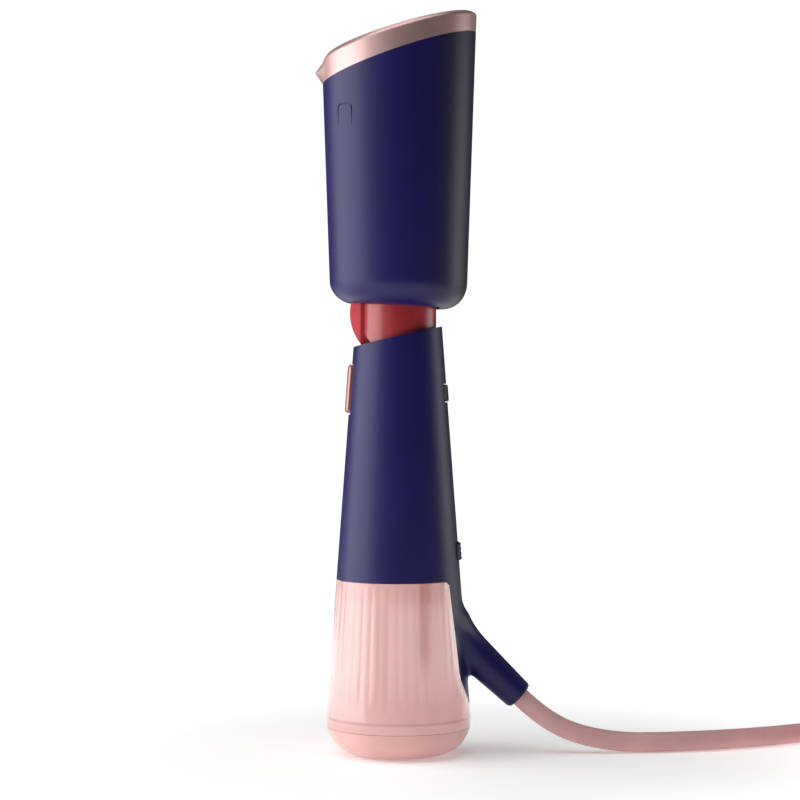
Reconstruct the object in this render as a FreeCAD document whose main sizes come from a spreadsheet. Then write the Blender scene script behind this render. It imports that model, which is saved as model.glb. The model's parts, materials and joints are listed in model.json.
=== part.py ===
import FreeCAD, Part
import math
import os
import Sketcher

# Handheld garment steamer: tilting steam head, tapered grip, clip-in water tank and mains lead.
doc = FreeCAD.newDocument("GarmentSteamer")

# Driving dimensions, in millimetres. Slopes are millimetres of change per millimetre.
dimensions = {
    # grip and tank share one cone, widest at the floor
    "foot_radius": 32.9,
    "grip_slope": 0.0733,
    "shell_wall": 2.2,
    "tank_height": 76.8,
    "grip_length": 106.3,
    "mouth_slope": 0.231,
    # neck joint
    "neck_gap": 10.0,
    "drum_radius": 17.4,
    "drum_plan_radius": 16.6,
    "drum_wall": 2.2,
    "shield_radius": 21.2,
    "shield_half_width": 7.5,
    "pin_radius": 2.5,
    "neck_half_width": 6.0,
    "neck_radius": 7.0,
    # head
    "head_rise": 3.2,
    "head_length": 108.8,
    "head_radius": 29.9,
    "head_slope": 0.0345,
    "head_wall": 2.2,
    "head_corner": 11.0,
    "foot_slope": 0.053,
    "seam_slope": 0.333,
    "ring_height": 10.7,
    "face_slope": 0.296,
    "beak_reach": 3.3,
    "plate_thickness": 3.0,
    "chamber_radius": 26.0,
    "chamber_depth": 17.0,
    "element_radius": 20.0,
    # tank
    "tank_wall": 2.0,
    "base_height": 12.3,
    "base_corner": 15.0,
    "lid_thickness": 7.5,
    "spine_top": 22.1,
    "spine_middle": 25.2,
    "spine_low": 27.0,
    "spine_tip": 31.0,
    "spine_middle_height": 51.0,
    "spine_low_height": 34.0,
    "spine_tip_height": 22.8,
    "rail_spacing": 9.0,
    # controls
    "trigger_drop": 12.4,
    "trigger_length": 21.0,
    "trigger_proud": 1.8,
    "power_drop": 21.0,
    "power_length": 7.5,
    "power_width": 16.0,
    "release_rise": 8.5,
    "release_length": 7.5,
    "release_width": 15.0,
    "button_proud": 1.3,
    # lead
    "cord_radius": 4.3,
    "sleeve_radius": 6.6,
    "sleeve_taper": 0.052,
    "sleeve_length": 32.0,
    "coil_radius": 44.0,
    "tie_thickness": 0.9,
    # fits
    "gap": 0.3,
    "running_fit": 0.05,
}

sheet = doc.addObject("Spreadsheet::Sheet", "Sizes")
for row, (alias, number) in enumerate(dimensions.items(), start=1):
    sheet.set(f"A{row}", alias)
    sheet.set(f"B{row}", str(number))
    sheet.setAlias(f"B{row}", alias)
doc.recompute()


class Size:
    """A dimension that carries both its value and the spreadsheet formula it comes from."""

    def __init__(self, value, formula=None):
        self.value = float(value)
        self.formula = formula if formula else f"({self.value!r})"

    def join(self, other, sign, value):
        return Size(value, f"({self.formula} {sign} {as_size(other).formula})")

    def __add__(self, other):
        return self.join(other, "+", self.value + float(other))

    def __radd__(self, other):
        return as_size(other) + self

    def __sub__(self, other):
        return self.join(other, "-", self.value - float(other))

    def __rsub__(self, other):
        return as_size(other) - self

    def __mul__(self, other):
        return self.join(other, "*", self.value * float(other))

    def __rmul__(self, other):
        return as_size(other) * self

    def __truediv__(self, other):
        return self.join(other, "/", self.value / float(other))

    def __rtruediv__(self, other):
        return as_size(other) / self

    def __neg__(self):
        return as_size(0) - self

    def __float__(self):
        return self.value


def as_size(number):
    return number if isinstance(number, Size) else Size(number)


def cell(alias):
    return Size(sheet.get(alias), f"Sizes.{alias}")


def bind(item, path, size):
    """Ties one property of an object to the spreadsheet."""
    item.setExpression(path, as_size(size).formula)


def arctan(size):
    """The angle in degrees of a slope."""
    return Size(math.degrees(math.atan(float(size))), f"atan({as_size(size).formula})")


# Levels and radii that follow from the driving dimensions
foot_radius = cell("foot_radius")
wall = cell("shell_wall")
gap = cell("gap")
fit = cell("running_fit")
tank_top = cell("tank_height")
mouth = tank_top + cell("grip_length")
pin_height = mouth + cell("neck_gap")
head_foot = pin_height + cell("head_rise")
seam = head_foot + cell("head_length")
face = seam + cell("ring_height")
face_tilt = arctan(cell("face_slope"))


def grip_radius(height):
    return foot_radius - height * cell("grip_slope")


def head_radius(height):
    return cell("head_radius") + (height - head_foot) * cell("head_slope")


# Modelling helpers
nodes = []


def node(item, label):
    """Registers a finished piece under the name that its file takes."""
    item.Label = label
    nodes.append(item)
    return item


def place(item, x=0, y=0, z=0, axis=None, angle=0):
    """Puts an object at bound coordinates, turned about an axis."""
    if axis:
        item.Placement = FreeCAD.Placement(
            FreeCAD.Vector(), FreeCAD.Rotation(FreeCAD.Vector(*axis), float(angle))
        )
        bind(item, "Placement.Rotation.Angle", angle)
    for name, size in zip("xyz", (x, y, z)):
        bind(item, f"Placement.Base.{name}", size)
    return item


def tilted(item):
    """Puts a piece in the frame of the sloping face of the head."""
    return place(item, z=face, axis=(0, -1, 0), angle=face_tilt)


def origin_plane(body, role):
    return next(plane for plane in body.Origin.OriginFeatures if plane.Role == role)


def sketch_on(body, role, name, offset=0):
    sketch = body.newObject("Sketcher::SketchObject", name)
    sketch.AttachmentSupport = [(origin_plane(body, role), "")]
    sketch.MapMode = "FlatFace"
    bind(sketch, "AttachmentOffset.Base.z", offset)
    return sketch


def draw_outline(sketch, corners):
    """A closed outline of straight edges whose corners are bound to the spreadsheet."""
    points = [FreeCAD.Vector(float(x), float(y), 0) for x, y in corners]
    count = len(points)
    for i in range(count):
        sketch.addGeometry(Part.LineSegment(points[i], points[(i + 1) % count]), False)
    for i in range(count):
        sketch.addConstraint(Sketcher.Constraint("Coincident", i, 2, (i + 1) % count, 1))
    for i, (x, y) in enumerate(corners):
        for kind, size in (("DistanceX", x), ("DistanceY", y)):
            index = sketch.addConstraint(Sketcher.Constraint(kind, -1, 1, i, 1, float(size)))
            bind(sketch, f"Constraints[{index}]", size)
    return sketch


def draw_circles(sketch, circles):
    """Circles given as (x, y, radius), each bound to the spreadsheet."""
    for i, (x, y, radius) in enumerate(circles):
        centre = FreeCAD.Vector(float(x), float(y), 0)
        sketch.addGeometry(Part.Circle(centre, FreeCAD.Vector(0, 0, 1), float(radius)), False)
        for kind, size in (("DistanceX", x), ("DistanceY", y)):
            index = sketch.addConstraint(Sketcher.Constraint(kind, -1, 1, i, 3, float(size)))
            bind(sketch, f"Constraints[{index}]", size)
        index = sketch.addConstraint(Sketcher.Constraint("Radius", i, float(radius)))
        bind(sketch, f"Constraints[{index}]", radius)
    return sketch


def new_body(name):
    return doc.addObject("PartDesign::Body", name)


def turn(body, shapes, kind="Revolution", draw=draw_outline):
    """Turns an outline of (radius, height) corners, or circles, about the vertical axis."""
    sketch = draw(sketch_on(body, "XZ_Plane", f"{body.Name}_{kind}_profile"), shapes)
    feature = body.newObject(f"PartDesign::{kind}", f"{body.Name}_{kind}")
    feature.Profile = sketch
    feature.ReferenceAxis = (sketch, ["V_Axis"])
    feature.Angle = 360
    sketch.Visibility = False
    return body


def turned(name, corners):
    return turn(new_body(name), corners)


def pad(body, sketch, length, symmetric=False):
    feature = body.newObject("PartDesign::Pad", f"{sketch.Name}_pad")
    feature.Profile = sketch
    bind(feature, "Length", length)
    if symmetric:
        feature.SideType = "Symmetric"
    return body


def trim(body, corners):
    """Cuts a side-view outline right through the body, both ways from the middle plane."""
    before = len(body.Group)
    sketch = draw_outline(sketch_on(body, "XZ_Plane", f"{body.Name}_trim_{before}"), corners)
    feature = body.newObject("PartDesign::Pocket", f"{body.Name}_cut_{before}")
    feature.Profile = sketch
    feature.Type = "ThroughAll"
    feature.SideType = "Symmetric"
    return body


def sink(body, shapes, top, depth, draw=draw_outline):
    """Cuts a plan-view outline or circles downwards from a level."""
    before = len(body.Group)
    sketch = draw(sketch_on(body, "XY_Plane", f"{body.Name}_sink_{before}", top), shapes)
    feature = body.newObject("PartDesign::Pocket", f"{body.Name}_pocket_{before}")
    feature.Profile = sketch
    bind(feature, "Length", depth)
    return feature


def round_edges(body, radius, wanted):
    """Fillets the edges of the finished shape that the test picks."""
    doc.recompute()
    base = body.Tip
    names = [f"Edge{i}" for i, edge in enumerate(base.Shape.Edges, start=1) if wanted(edge)]
    feature = body.newObject("PartDesign::Fillet", f"{body.Name}_fillet")
    feature.Base = (base, names)
    bind(feature, "Radius", radius)
    return body


def ring_pattern(body, feature, count):
    """Repeats a cut about the body's vertical axis."""
    pattern = body.newObject("PartDesign::PolarPattern", f"{feature.Name}_ring")
    pattern.Originals = [feature]
    pattern.Axis = (origin_plane(body, "Z_Axis"), [""])
    pattern.Angle = 360
    pattern.Occurrences = count
    body.Tip = pattern
    return body


def block(name, x, y, z, centre_x=0, centre_y=0, low_z=0):
    """A box centred in plan, standing on low_z."""
    item = doc.addObject("Part::Box", name)
    for path, size in (("Length", x), ("Width", y), ("Height", z)):
        bind(item, path, size)
    return place(item, as_size(centre_x) - as_size(x) / 2, as_size(centre_y) - as_size(y) / 2, low_z)


def rod(name, radius, length, x=0, y=0, z=0, axis=None, angle=0):
    """A cylinder along +Z, or turned by angle about axis, starting at its base point."""
    item = doc.addObject("Part::Cylinder", name)
    bind(item, "Radius", radius)
    bind(item, "Height", length)
    return place(item, x, y, z, axis, angle)


def rod_y(name, radius, start, length, x=0, z=0):
    """A cylinder along +Y from y = start."""
    return rod(name, radius, length, x, start, z, axis=(-1, 0, 0), angle=90)


def rod_x(name, radius, start, length, y=0, z=0):
    """A cylinder along +X from x = start."""
    return rod(name, radius, length, start, y, z, axis=(0, 1, 0), angle=90)


def cut(name, base, *tools):
    tool = tools[0] if len(tools) == 1 else join(f"{name}_tools", *tools)
    item = doc.addObject("Part::Cut", name)
    item.Base = base
    item.Tool = tool
    return item


def join(name, *shapes):
    item = doc.addObject("Part::MultiFuse", name)
    item.Shapes = list(shapes)
    return item


def overlap(name, *shapes):
    item = doc.addObject("Part::MultiCommon", name)
    item.Shapes = list(shapes)
    return item


def group(name, *shapes):
    """Separate solids that share one node."""
    item = doc.addObject("Part::Compound", name)
    item.Links = list(shapes)
    return item


def tube(name, outer, inner, length, x=0, y=0, z=0, maker=rod):
    """A round tube. Its maker gives the direction; x, y and z follow that maker's order."""
    skin = maker(f"{name}_outer", outer, length, x, y, z)
    return cut(name, skin, maker(f"{name}_bore", inner, length, x, y, z))


def spring(name, radius, wire, pitch, turns, placement):
    """A coil spring along its own +Z, centred on its axis."""
    helix = Part.makeHelix(pitch, pitch * turns, radius)
    start = FreeCAD.Vector(radius, 0, 0)
    section = Part.Wire(Part.makeCircle(wire, start, FreeCAD.Vector(0, 1, 0)))
    item = doc.addObject("Part::Feature", name)
    item.Shape = Part.Wire(helix).makePipeShell([section], True, True)
    item.Placement = placement
    return item


def bent_tube(name, route, radius, inner=0):
    """A tube of straight runs joined by tangent arcs, each arc as large as its two runs allow."""
    corners = [FreeCAD.Vector(*[float(value) for value in point]) for point in route]
    edges = []
    radii = []
    start = corners[0]
    for before, corner, after in zip(corners, corners[1:], corners[2:]):
        back = (before - corner).normalize()
        ahead = (after - corner).normalize()
        half_turn = (math.pi - back.getAngle(ahead)) / 2
        reach = 0.45 * min((before - corner).Length, (after - corner).Length)
        radii.append(reach / math.tan(half_turn))
        enter = corner + back * reach
        leave = corner + ahead * reach
        inward = (back + ahead).normalize()
        middle = corner + inward * (radii[-1] / math.cos(half_turn) - radii[-1])
        edges.append(Part.makeLine(start, enter))
        edges.append(Part.Arc(enter, middle, leave).toShape())
        start = leave
    edges.append(Part.makeLine(start, corners[-1]))
    path = Part.Wire(edges)
    solids = []
    for size in (radius, inner):
        if float(size) > 0:
            circle = Part.makeCircle(float(size), corners[0], corners[1] - corners[0])
            solids.append(path.makePipeShell([Part.Wire(circle)], True, False))
    shape = solids[0].cut(solids[1]) if len(solids) > 1 else solids[0]
    section = math.pi * (float(radius) ** 2 - float(inner) ** 2)
    print(
        f"{name}: path {path.Length:.1f} mm, tightest radius {min(radii):.1f} mm,"
        f" volume over section times length {shape.Volume / section / path.Length:.4f}"
    )
    item = doc.addObject("Part::Feature", name)
    item.Shape = shape
    return item


# Head: a tapered cup cut by a sloping seam, with the hot plate and its ring above it
reach = cell("head_radius") * 2
head_low = pin_height
head_high = face + cell("head_radius")
head_cone = [
    (0, head_low),
    (head_radius(head_low), head_low),
    (head_radius(head_high), head_high),
    (0, head_high),
]
seam_slope = cell("seam_slope")
face_slope = cell("face_slope")
head_wall = cell("head_wall")
drum_radius = cell("drum_radius")
plan_radius = cell("drum_plan_radius")


def side_line(level, slope, far):
    """The two ends of a sloping side-view line, closed off at a far level."""
    return [
        (-reach, level - reach * slope),
        (reach, level + reach * slope),
        (reach, far),
        (-reach, far),
    ]


yoke_seat = pin_height + drum_radius + 3.1
ledge_low = yoke_seat - 3
head_floor = head_foot + head_wall + cell("foot_slope") * cell("head_radius")
inner_corner = ledge_low - 1.5 - head_floor
ledge_radius = head_radius(yoke_seat) - head_wall - 4.5
screw_circle = ledge_radius + 1.9
screw_radius = Size(1.2)

shell = trim(turned("head_shell", head_cone), side_line(head_foot, -cell("foot_slope"), head_low - reach))
trim(shell, side_line(seam, seam_slope, head_high + reach))
round_edges(shell, cell("head_corner"), lambda edge: edge.BoundBox.ZMax < float(head_foot) + 5)
turn(
    shell,
    [
        (0, head_floor),
        (head_radius(head_floor) - head_wall - inner_corner, head_floor),
        (head_radius(head_floor) - head_wall, head_floor + inner_corner),
        (head_radius(ledge_low) - head_wall, ledge_low),
        (ledge_radius, ledge_low),
        (ledge_radius, yoke_seat),
        (head_radius(yoke_seat) - head_wall, yoke_seat),
        (head_radius(head_high) - head_wall, head_high),
        (0, head_high),
    ],
    kind="Groove",
)
mouth_x = drum_radius + 0.5
mouth_y = plan_radius + 0.6
chamfer_x = mouth_x * 0.5
chamfer_y = mouth_y * 0.7
sink(
    shell,
    [
        (-mouth_x, -chamfer_y),
        (-chamfer_x, -mouth_y),
        (chamfer_x, -mouth_y),
        (mouth_x, -chamfer_y),
        (mouth_x, chamfer_y),
        (chamfer_x, mouth_y),
        (-chamfer_x, mouth_y),
        (-mouth_x, chamfer_y),
    ],
    head_floor + 1,
    head_floor - head_low,
)
slot_x = cell("shield_radius") + 0.9
slot_y = cell("shield_half_width") + 0.5
sink(
    shell,
    [(-slot_x, -slot_y), (-mouth_x + 1, -slot_y), (-mouth_x + 1, slot_y), (-slot_x, slot_y)],
    head_floor + inner_corner,
    head_floor + inner_corner - head_low,
)
ring_pattern(shell, sink(shell, [(screw_circle, 0, screw_radius)], yoke_seat + 1, 4.5, draw_circles), 4)
node(shell, "head_shell")

ring = turned("plate_ring", head_cone)
ring_radius = head_radius(seam)
beak_low = seam - seam_slope * ring_radius
beak_tip = -ring_radius - cell("beak_reach")
beak = draw_outline(
    sketch_on(ring, "XY_Plane", "beak_outline", beak_low - 5),
    [(beak_tip, 0), (-ring_radius * 0.9, -ring_radius * 0.41), (-ring_radius * 0.9, ring_radius * 0.41)],
)
pad(ring, beak, 40)
trim(ring, side_line(seam, seam_slope, head_low - reach))
trim(ring, side_line(face, face_slope, head_high + reach))
trim(
    ring,
    [
        (-ring_radius, beak_low),
        (beak_tip, beak_low + 5.8),
        (beak_tip - 10, beak_low + 5.8),
        (beak_tip - 10, beak_low - 10),
        (-ring_radius, beak_low - 10),
    ],
)
turn(
    ring,
    [
        (0, head_low - 5),
        (head_radius(head_low - 5) - head_wall, head_low - 5),
        (head_radius(head_high) - head_wall, head_high),
        (0, head_high),
    ],
    kind="Groove",
)
node(ring, "plate_ring")

# The hot stack hangs below the sloping face, in the face's own frame
plate = cell("plate_thickness")
plate_radius = head_radius(face) - head_wall - gap
chamber_radius = cell("chamber_radius")
chamber_low = -plate - cell("chamber_depth")
element = [(cell("element_radius"), chamber_low, 3)]

soleplate = turned(
    "soleplate",
    [(0, -plate), (plate_radius, -plate), (plate_radius, -0.3), (plate_radius * 0.7, 1.1), (0, 1.7)],
)
for radius, start, count in ((0.66, 0, 12), (0.33, 0.12, 6)):
    hole = [(plate_radius * radius, plate_radius * start, 1.3)]
    ring_pattern(soleplate, sink(soleplate, hole, 3, plate + 4, draw_circles), count)
node(tilted(soleplate), "soleplate")

chamber = turned(
    "steam_chamber",
    [(0, -plate), (chamber_radius, -plate), (chamber_radius, chamber_low), (0, chamber_low)],
)
turn(chamber, element, kind="Groove", draw=draw_circles)
node(tilted(chamber), "steam_chamber")
node(tilted(turn(new_body("heating_element"), element, draw=draw_circles)), "heating_element")
gasket_high = -plate - 1
gasket = [
    (chamber_radius, gasket_high),
    (plate_radius - 1.2, gasket_high),
    (plate_radius - 1.2, gasket_high - 2),
    (chamber_radius, gasket_high - 2),
]
node(tilted(turned("plate_gasket", gasket)), "plate_gasket")
screen_high = chamber_low - 6
screen_radius = chamber_radius - 3
screen_low = screen_high - 1.5
screen = [(4, screen_high), (screen_radius, screen_high), (screen_radius, screen_low), (4, screen_low)]
node(tilted(turned("heat_screen", screen)), "heat_screen")
for name, x, y, radius, length in (("thermostat", -9, 0, 6.5, 5.5), ("thermal_fuse", 9, 7, 2.6, 5)):
    sensor = new_body(name)
    spot = draw_circles(sketch_on(sensor, "XY_Plane", f"{name}_spot", chamber_low - length), [(x, y, radius)])
    pad(sensor, spot, length)
    node(tilted(sensor), name)

# Neck: an arm below a plate, screwed to the ledge inside the head, turning on the hinge pin
neck_half = cell("neck_half_width")
neck_radius = cell("neck_radius")
bush_radius = cell("pin_radius") + 1.5
yoke_thickness = Size(3)
yoke_top = yoke_seat + yoke_thickness
yoke_radius = head_radius(yoke_seat) - head_wall - gap
neck_arm = join(
    "neck_arm",
    rod("yoke_plate", yoke_radius, yoke_thickness, z=yoke_seat),
    block("neck_bar", neck_radius * 2, neck_half * 2, yoke_seat - pin_height, low_z=pin_height),
    rod_y("neck_eye", neck_radius, -neck_half, neck_half * 2, z=pin_height),
)
hose_bore = Size(2.6)
screw_holes = []
screws = []
for i in range(4):
    x = screw_circle * round(math.cos(i * math.pi / 2))
    y = screw_circle * round(math.sin(i * math.pi / 2))
    screw_holes.append(rod(f"yoke_hole_{i}", screw_radius, yoke_thickness, x, y, yoke_seat))
    shank = rod(f"yoke_shank_{i}", screw_radius, yoke_thickness + 2.7, x, y, yoke_seat - 2.7)
    screw_head = rod(f"yoke_head_{i}", screw_radius * 1.7, 1.6, x, y, yoke_top)
    screws.append(join(f"yoke_screw_{i}", shank, screw_head))
bush_hole = rod_y("bush_hole", bush_radius, -neck_half, neck_half * 2, z=pin_height)
hose_low = pin_height + bush_radius + 2
hose_hole = rod("hose_hole", hose_bore, yoke_top - hose_low, z=hose_low)
node(cut("neck_yoke", neck_arm, bush_hole, hose_hole, *screw_holes), "neck_yoke")
node(group("yoke_screws", *screws), "yoke_screws")
node(
    cut(
        "hinge_bush",
        rod_y("bush_outer", bush_radius, -neck_half, neck_half * 2, z=pin_height),
        rod_y("bush_bore", cell("pin_radius") + fit, -neck_half, neck_half * 2, z=pin_height),
    ),
    "hinge_bush",
)
tilt = math.radians(float(face_tilt))
hose_end = float(chamber_low)
hose_top = (-hose_end * math.sin(tilt), 0, float(face) + hose_end * math.cos(tilt))
hose_lead = (
    -(hose_end - 14) * math.sin(tilt),
    0,
    float(face) + (hose_end - 14) * math.cos(tilt),
)
head_hose_route = [
    (0, 0, hose_low + 0.4),
    (0, 0, yoke_top + 20),
    (hose_lead[0] / 2, 0, yoke_top + 42),
    hose_lead,
    hose_top,
]
node(bent_tube("head_hose", head_hose_route, 2.5, 1.5), "head_hose")

# Joint: a red drum in two halves around the neck arm, on a steel pin, with a dust shield in front
drum_wall = cell("drum_wall")
drum_form = overlap(
    "drum_form",
    rod_y("drum_roll", drum_radius, -plan_radius, plan_radius * 2, z=pin_height),
    rod("drum_round", plan_radius, drum_radius * 2, z=pin_height - drum_radius, axis=(0, 0, 1), angle=45),
)
hollow_half = drum_radius * 0.52
drum_hollow = rod("drum_hollow", plan_radius - drum_wall, hollow_half * 2, z=pin_height - hollow_half)
boss_start = neck_half + 0.8
boss_length = plan_radius - boss_start - 1
bosses = [
    rod_y(f"pin_boss_{i}", cell("pin_radius") + 3, start, boss_length, z=pin_height)
    for i, start in enumerate((boss_start, -boss_start - boss_length))
]
pin_half = plan_radius - 1.5
neck_slot = block(
    "neck_slot",
    drum_radius * 1.55,
    neck_half * 2 + 1.2,
    drum_radius,
    centre_x=-drum_radius * 0.12,
    low_z=pin_height + drum_radius / 2,
)
pin_hole = rod_y("pin_hole", cell("pin_radius"), -pin_half, pin_half * 2, z=pin_height)
drum = cut("drum", join("drum_parts", cut("drum_skin", drum_form, drum_hollow), *bosses), neck_slot, pin_hole)
for side, centre in (("left", -plan_radius), ("right", plan_radius)):
    half = block(
        f"half_{side}",
        drum_radius * 3,
        plan_radius * 2,
        drum_radius * 3,
        centre_y=centre,
        low_z=pin_height - drum_radius * 1.5,
    )
    node(overlap(f"knuckle_{side}", drum, half), f"knuckle_{side}")
node(rod_y("hinge_pin", cell("pin_radius"), -pin_half, pin_half * 2, z=pin_height), "hinge_pin")

seat_top = pin_height - drum_radius
seat_thickness = Size(3)
shield_radius = cell("shield_radius")
shield_half = cell("shield_half_width")
shield_ring = cut(
    "shield_ring",
    rod_y("shield_outer", shield_radius, -shield_half, shield_half * 2, z=pin_height),
    drum_form,
)
shield_window = block(
    "shield_window",
    shield_radius,
    shield_half * 2,
    drum_radius * 0.6 + drum_radius - 0.4,
    centre_x=-shield_radius * 0.85,
    low_z=seat_top + 0.4,
)
node(overlap("knuckle_shield", shield_ring, shield_window), "knuckle_shield")
seat_radius = grip_radius(seat_top) - wall - gap
hose_radius = Size(2)
knuckle_seat = cut(
    "knuckle_seat",
    rod("seat_disc", seat_radius, seat_thickness, z=seat_top - seat_thickness),
    rod("seat_hole", hose_radius, seat_thickness, z=seat_top - seat_thickness),
)
node(knuckle_seat, "knuckle_seat")
spring_turn = FreeCAD.Rotation(FreeCAD.Vector(-1, 0, 0), 90)
tilt_place = FreeCAD.Placement(FreeCAD.Vector(0, float(boss_start) + 0.9, float(pin_height)), spring_turn)
node(spring("tilt_spring", float(cell("pin_radius")) + 4.3, 0.5, 1.2, 2.5, tilt_place), "tilt_spring")


# Grip: one hollow cone from the tank to the joint, with a spine behind the tank and a lead sleeve
def spine_line(inset, low, high):
    """Side-view corners of the boundary between spine and tank, moved forwards by inset."""
    return [
        (cell("spine_tip") - inset, low),
        (cell("spine_tip") - inset, cell("spine_tip_height")),
        (cell("spine_low") - inset, cell("spine_low_height")),
        (cell("spine_middle") - inset, cell("spine_middle_height")),
        (cell("spine_top") - inset, tank_top),
        (cell("spine_top") - inset, high),
    ]


def cone(radius_inset, low, high):
    """The grip's cone between two levels, as an outline to turn."""
    return [
        (0, low),
        (grip_radius(low) - radius_inset, low),
        (grip_radius(high) - radius_inset, high),
        (0, high),
    ]


grip_far = foot_radius * 2
mouth_high = mouth + foot_radius
grip = turned("grip_skin", cone(0, tank_top, mouth_high))
turn(grip, cone(wall, tank_top, mouth_high), kind="Groove")
mouth_slope = cell("mouth_slope")
trim(
    grip,
    [
        (-grip_far, mouth - grip_far * mouth_slope),
        (grip_far, mouth + grip_far * mouth_slope),
        (grip_far, mouth_high + grip_far),
        (-grip_far, mouth_high + grip_far),
    ],
)
spine_low = cell("spine_tip_height")
front_edge = [(-grip_far, tank_top + 5), (-grip_far, spine_low - 5)]
tank_side = front_edge + spine_line(0, spine_low - 5, tank_top + 5)
spine = trim(turned("spine", cone(0, spine_low, tank_top)), tank_side)

cord_radius = cell("cord_radius")
sleeve_radius = cell("sleeve_radius")
exit_x = Size(53.3)
exit_z = Size(25.0)
exit_slope = Size(43.5)
sleeve_turn = 90 - exit_slope
sleeve_run = cell("sleeve_length") + 8
sleeve = doc.addObject("Part::Cone", "sleeve")
bind(sleeve, "Radius1", sleeve_radius)
bind(sleeve, "Radius2", sleeve_radius + sleeve_run * cell("sleeve_taper"))
bind(sleeve, "Height", sleeve_run)
place(sleeve, exit_x, 0, exit_z, (0, -1, 0), sleeve_turn)
tank_room = new_body("tank_room")
room = draw_outline(sketch_on(tank_room, "XZ_Plane", "tank_room_outline"), tank_side)
pad(tank_room, room, grip_far * 2, symmetric=True)
grommet_wall = Size(0.9)
bore_radius = cord_radius + grommet_wall
lead_hole = rod("lead_hole", bore_radius, sleeve_run - 9, exit_x, 0, exit_z, (0, -1, 0), sleeve_turn)
wire_low = cell("spine_middle_height") - 8.5
wire_x = grip_radius(wire_low) - 1.2
wire_hole = rod("wire_hole", 1.2, tank_top - wire_low + 4.5, wire_x, 0, wire_low, (0, -1, 0), 5.3)

trigger_top = mouth - cell("trigger_drop")
trigger_low = trigger_top - cell("trigger_length")
trigger_half = Size(5.7)
power_top = mouth - cell("power_drop")
power_low = power_top - cell("power_length")
release_low = tank_top + cell("release_rise")
release_top = release_low + cell("release_length")
edge_gap = gap + 0.1
windows = [
    block(
        "trigger_window",
        foot_radius,
        (trigger_half + edge_gap) * 2,
        trigger_top - trigger_low + edge_gap * 3.25,
        centre_x=-foot_radius * 0.8,
        low_z=trigger_low - edge_gap * 2.25,
    ),
    block(
        "power_window",
        foot_radius,
        cell("power_width") + edge_gap * 2,
        power_top - power_low + edge_gap * 2,
        centre_x=foot_radius * 0.9,
        low_z=power_low - edge_gap,
    ),
    block(
        "release_window",
        foot_radius,
        cell("release_width") + edge_gap * 2,
        release_top - release_low + edge_gap * 2,
        centre_x=foot_radius,
        low_z=release_low - edge_gap,
    ),
]
trigger_axle_x = -(grip_radius(trigger_top) - 4.6)
trigger_axle_z = trigger_top - 2
axle_radius = Size(1.2)
axle_half = Size(9.3)
axle_hole = rod_y("axle_hole", axle_radius, -axle_half, axle_half * 2, trigger_axle_x, trigger_axle_z)
grip_solid = join("grip_solid", grip, spine, cut("sleeve_outside", sleeve, tank_room))
node(cut("handle_shell", grip_solid, lead_hole, wire_hole, axle_hole, *windows), "handle_shell")


def facing(name, proud, depth, box):
    """A button that follows the grip's cone, proud of it, as deep as asked, inside a box."""
    skin = turned(f"{name}_skin", cone(-proud, tank_top, mouth))
    turn(skin, cone(depth, tank_top, mouth), kind="Groove")
    return overlap(f"{name}_face", skin, box)


trigger_box = block(
    "trigger_box",
    foot_radius,
    trigger_half * 2,
    trigger_top - trigger_low,
    centre_x=-foot_radius * 0.8,
    low_z=trigger_low,
)
trigger_ear = block("trigger_ear", 6.5, trigger_half * 2, 4.2, trigger_axle_x - 0.4, 0, trigger_top - 4.2)
axle_at = {"x": trigger_axle_x, "z": trigger_axle_z}
trigger_hole = rod_y("trigger_hole", axle_radius + fit, -trigger_half, trigger_half * 2, **axle_at)
trigger_parts = join("trigger_parts", facing("trigger", cell("trigger_proud"), 3.8, trigger_box), trigger_ear)
node(cut("steam_trigger", trigger_parts, trigger_hole), "steam_trigger")
node(rod_y("trigger_axle", axle_radius, -axle_half, axle_half * 2, **axle_at), "trigger_axle")
power_box = block(
    "power_box",
    foot_radius,
    cell("power_width"),
    power_top - power_low,
    centre_x=foot_radius * 0.9,
    low_z=power_low,
)
node(facing("power", cell("button_proud") * 0.5, 4, power_box), "power_button")
release_box = block(
    "release_box",
    foot_radius,
    cell("release_width"),
    release_top - release_low,
    centre_x=foot_radius,
    low_z=release_low,
)
node(facing("release", cell("button_proud"), 4.2, release_box), "release_button")

# Inside the grip
deck_thickness = Size(3)
deck_top = tank_top + deck_thickness
deck_radius = grip_radius(deck_top) - wall - gap
valve_x = -deck_radius * 0.32
rail_y = cell("rail_spacing")
hook_x = Size(14.5)
hook_width = Size(5)
port_height = Size(8)
deck_parts = join(
    "deck_parts",
    rod("deck_disc", deck_radius, deck_thickness, z=tank_top),
    rod("port", 2.5, port_height, valve_x, 0, deck_top),
)
port_hole = rod("port_hole", 1.5, port_height + deck_thickness, valve_x, 0, tank_top)
hook_hole = block("hook_hole", 5, hook_width + 0.8, deck_thickness, hook_x, 0, tank_top)
node(cut("tank_deck", deck_parts, port_hole, hook_hole), "tank_deck")
rail_length = deck_radius * 1.2
rail_drop = Size(2.2)
flange_drop = Size(1.6)


def rail_tool(name, room):
    """Two T-shaped rails, or with room around them the slots that they run in."""
    bars = []
    for i, side in enumerate((-1, 1)):
        length = rail_length + room * 2
        web_low = tank_top - rail_drop
        flange_low = web_low - flange_drop - room / 2
        web = block(f"{name}_web_{i}", length, 2 + room * 2, rail_drop, 0, rail_y * side, web_low)
        flange = block(
            f"{name}_flange_{i}", length, 4.6 + room * 2, flange_drop + room, 0, rail_y * side, flange_low
        )
        bars.append(join(f"{name}_rail_{i}", web, flange))
    return bars


node(group("deck_rails", *rail_tool("deck", Size(0))), "deck_rails")

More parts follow.
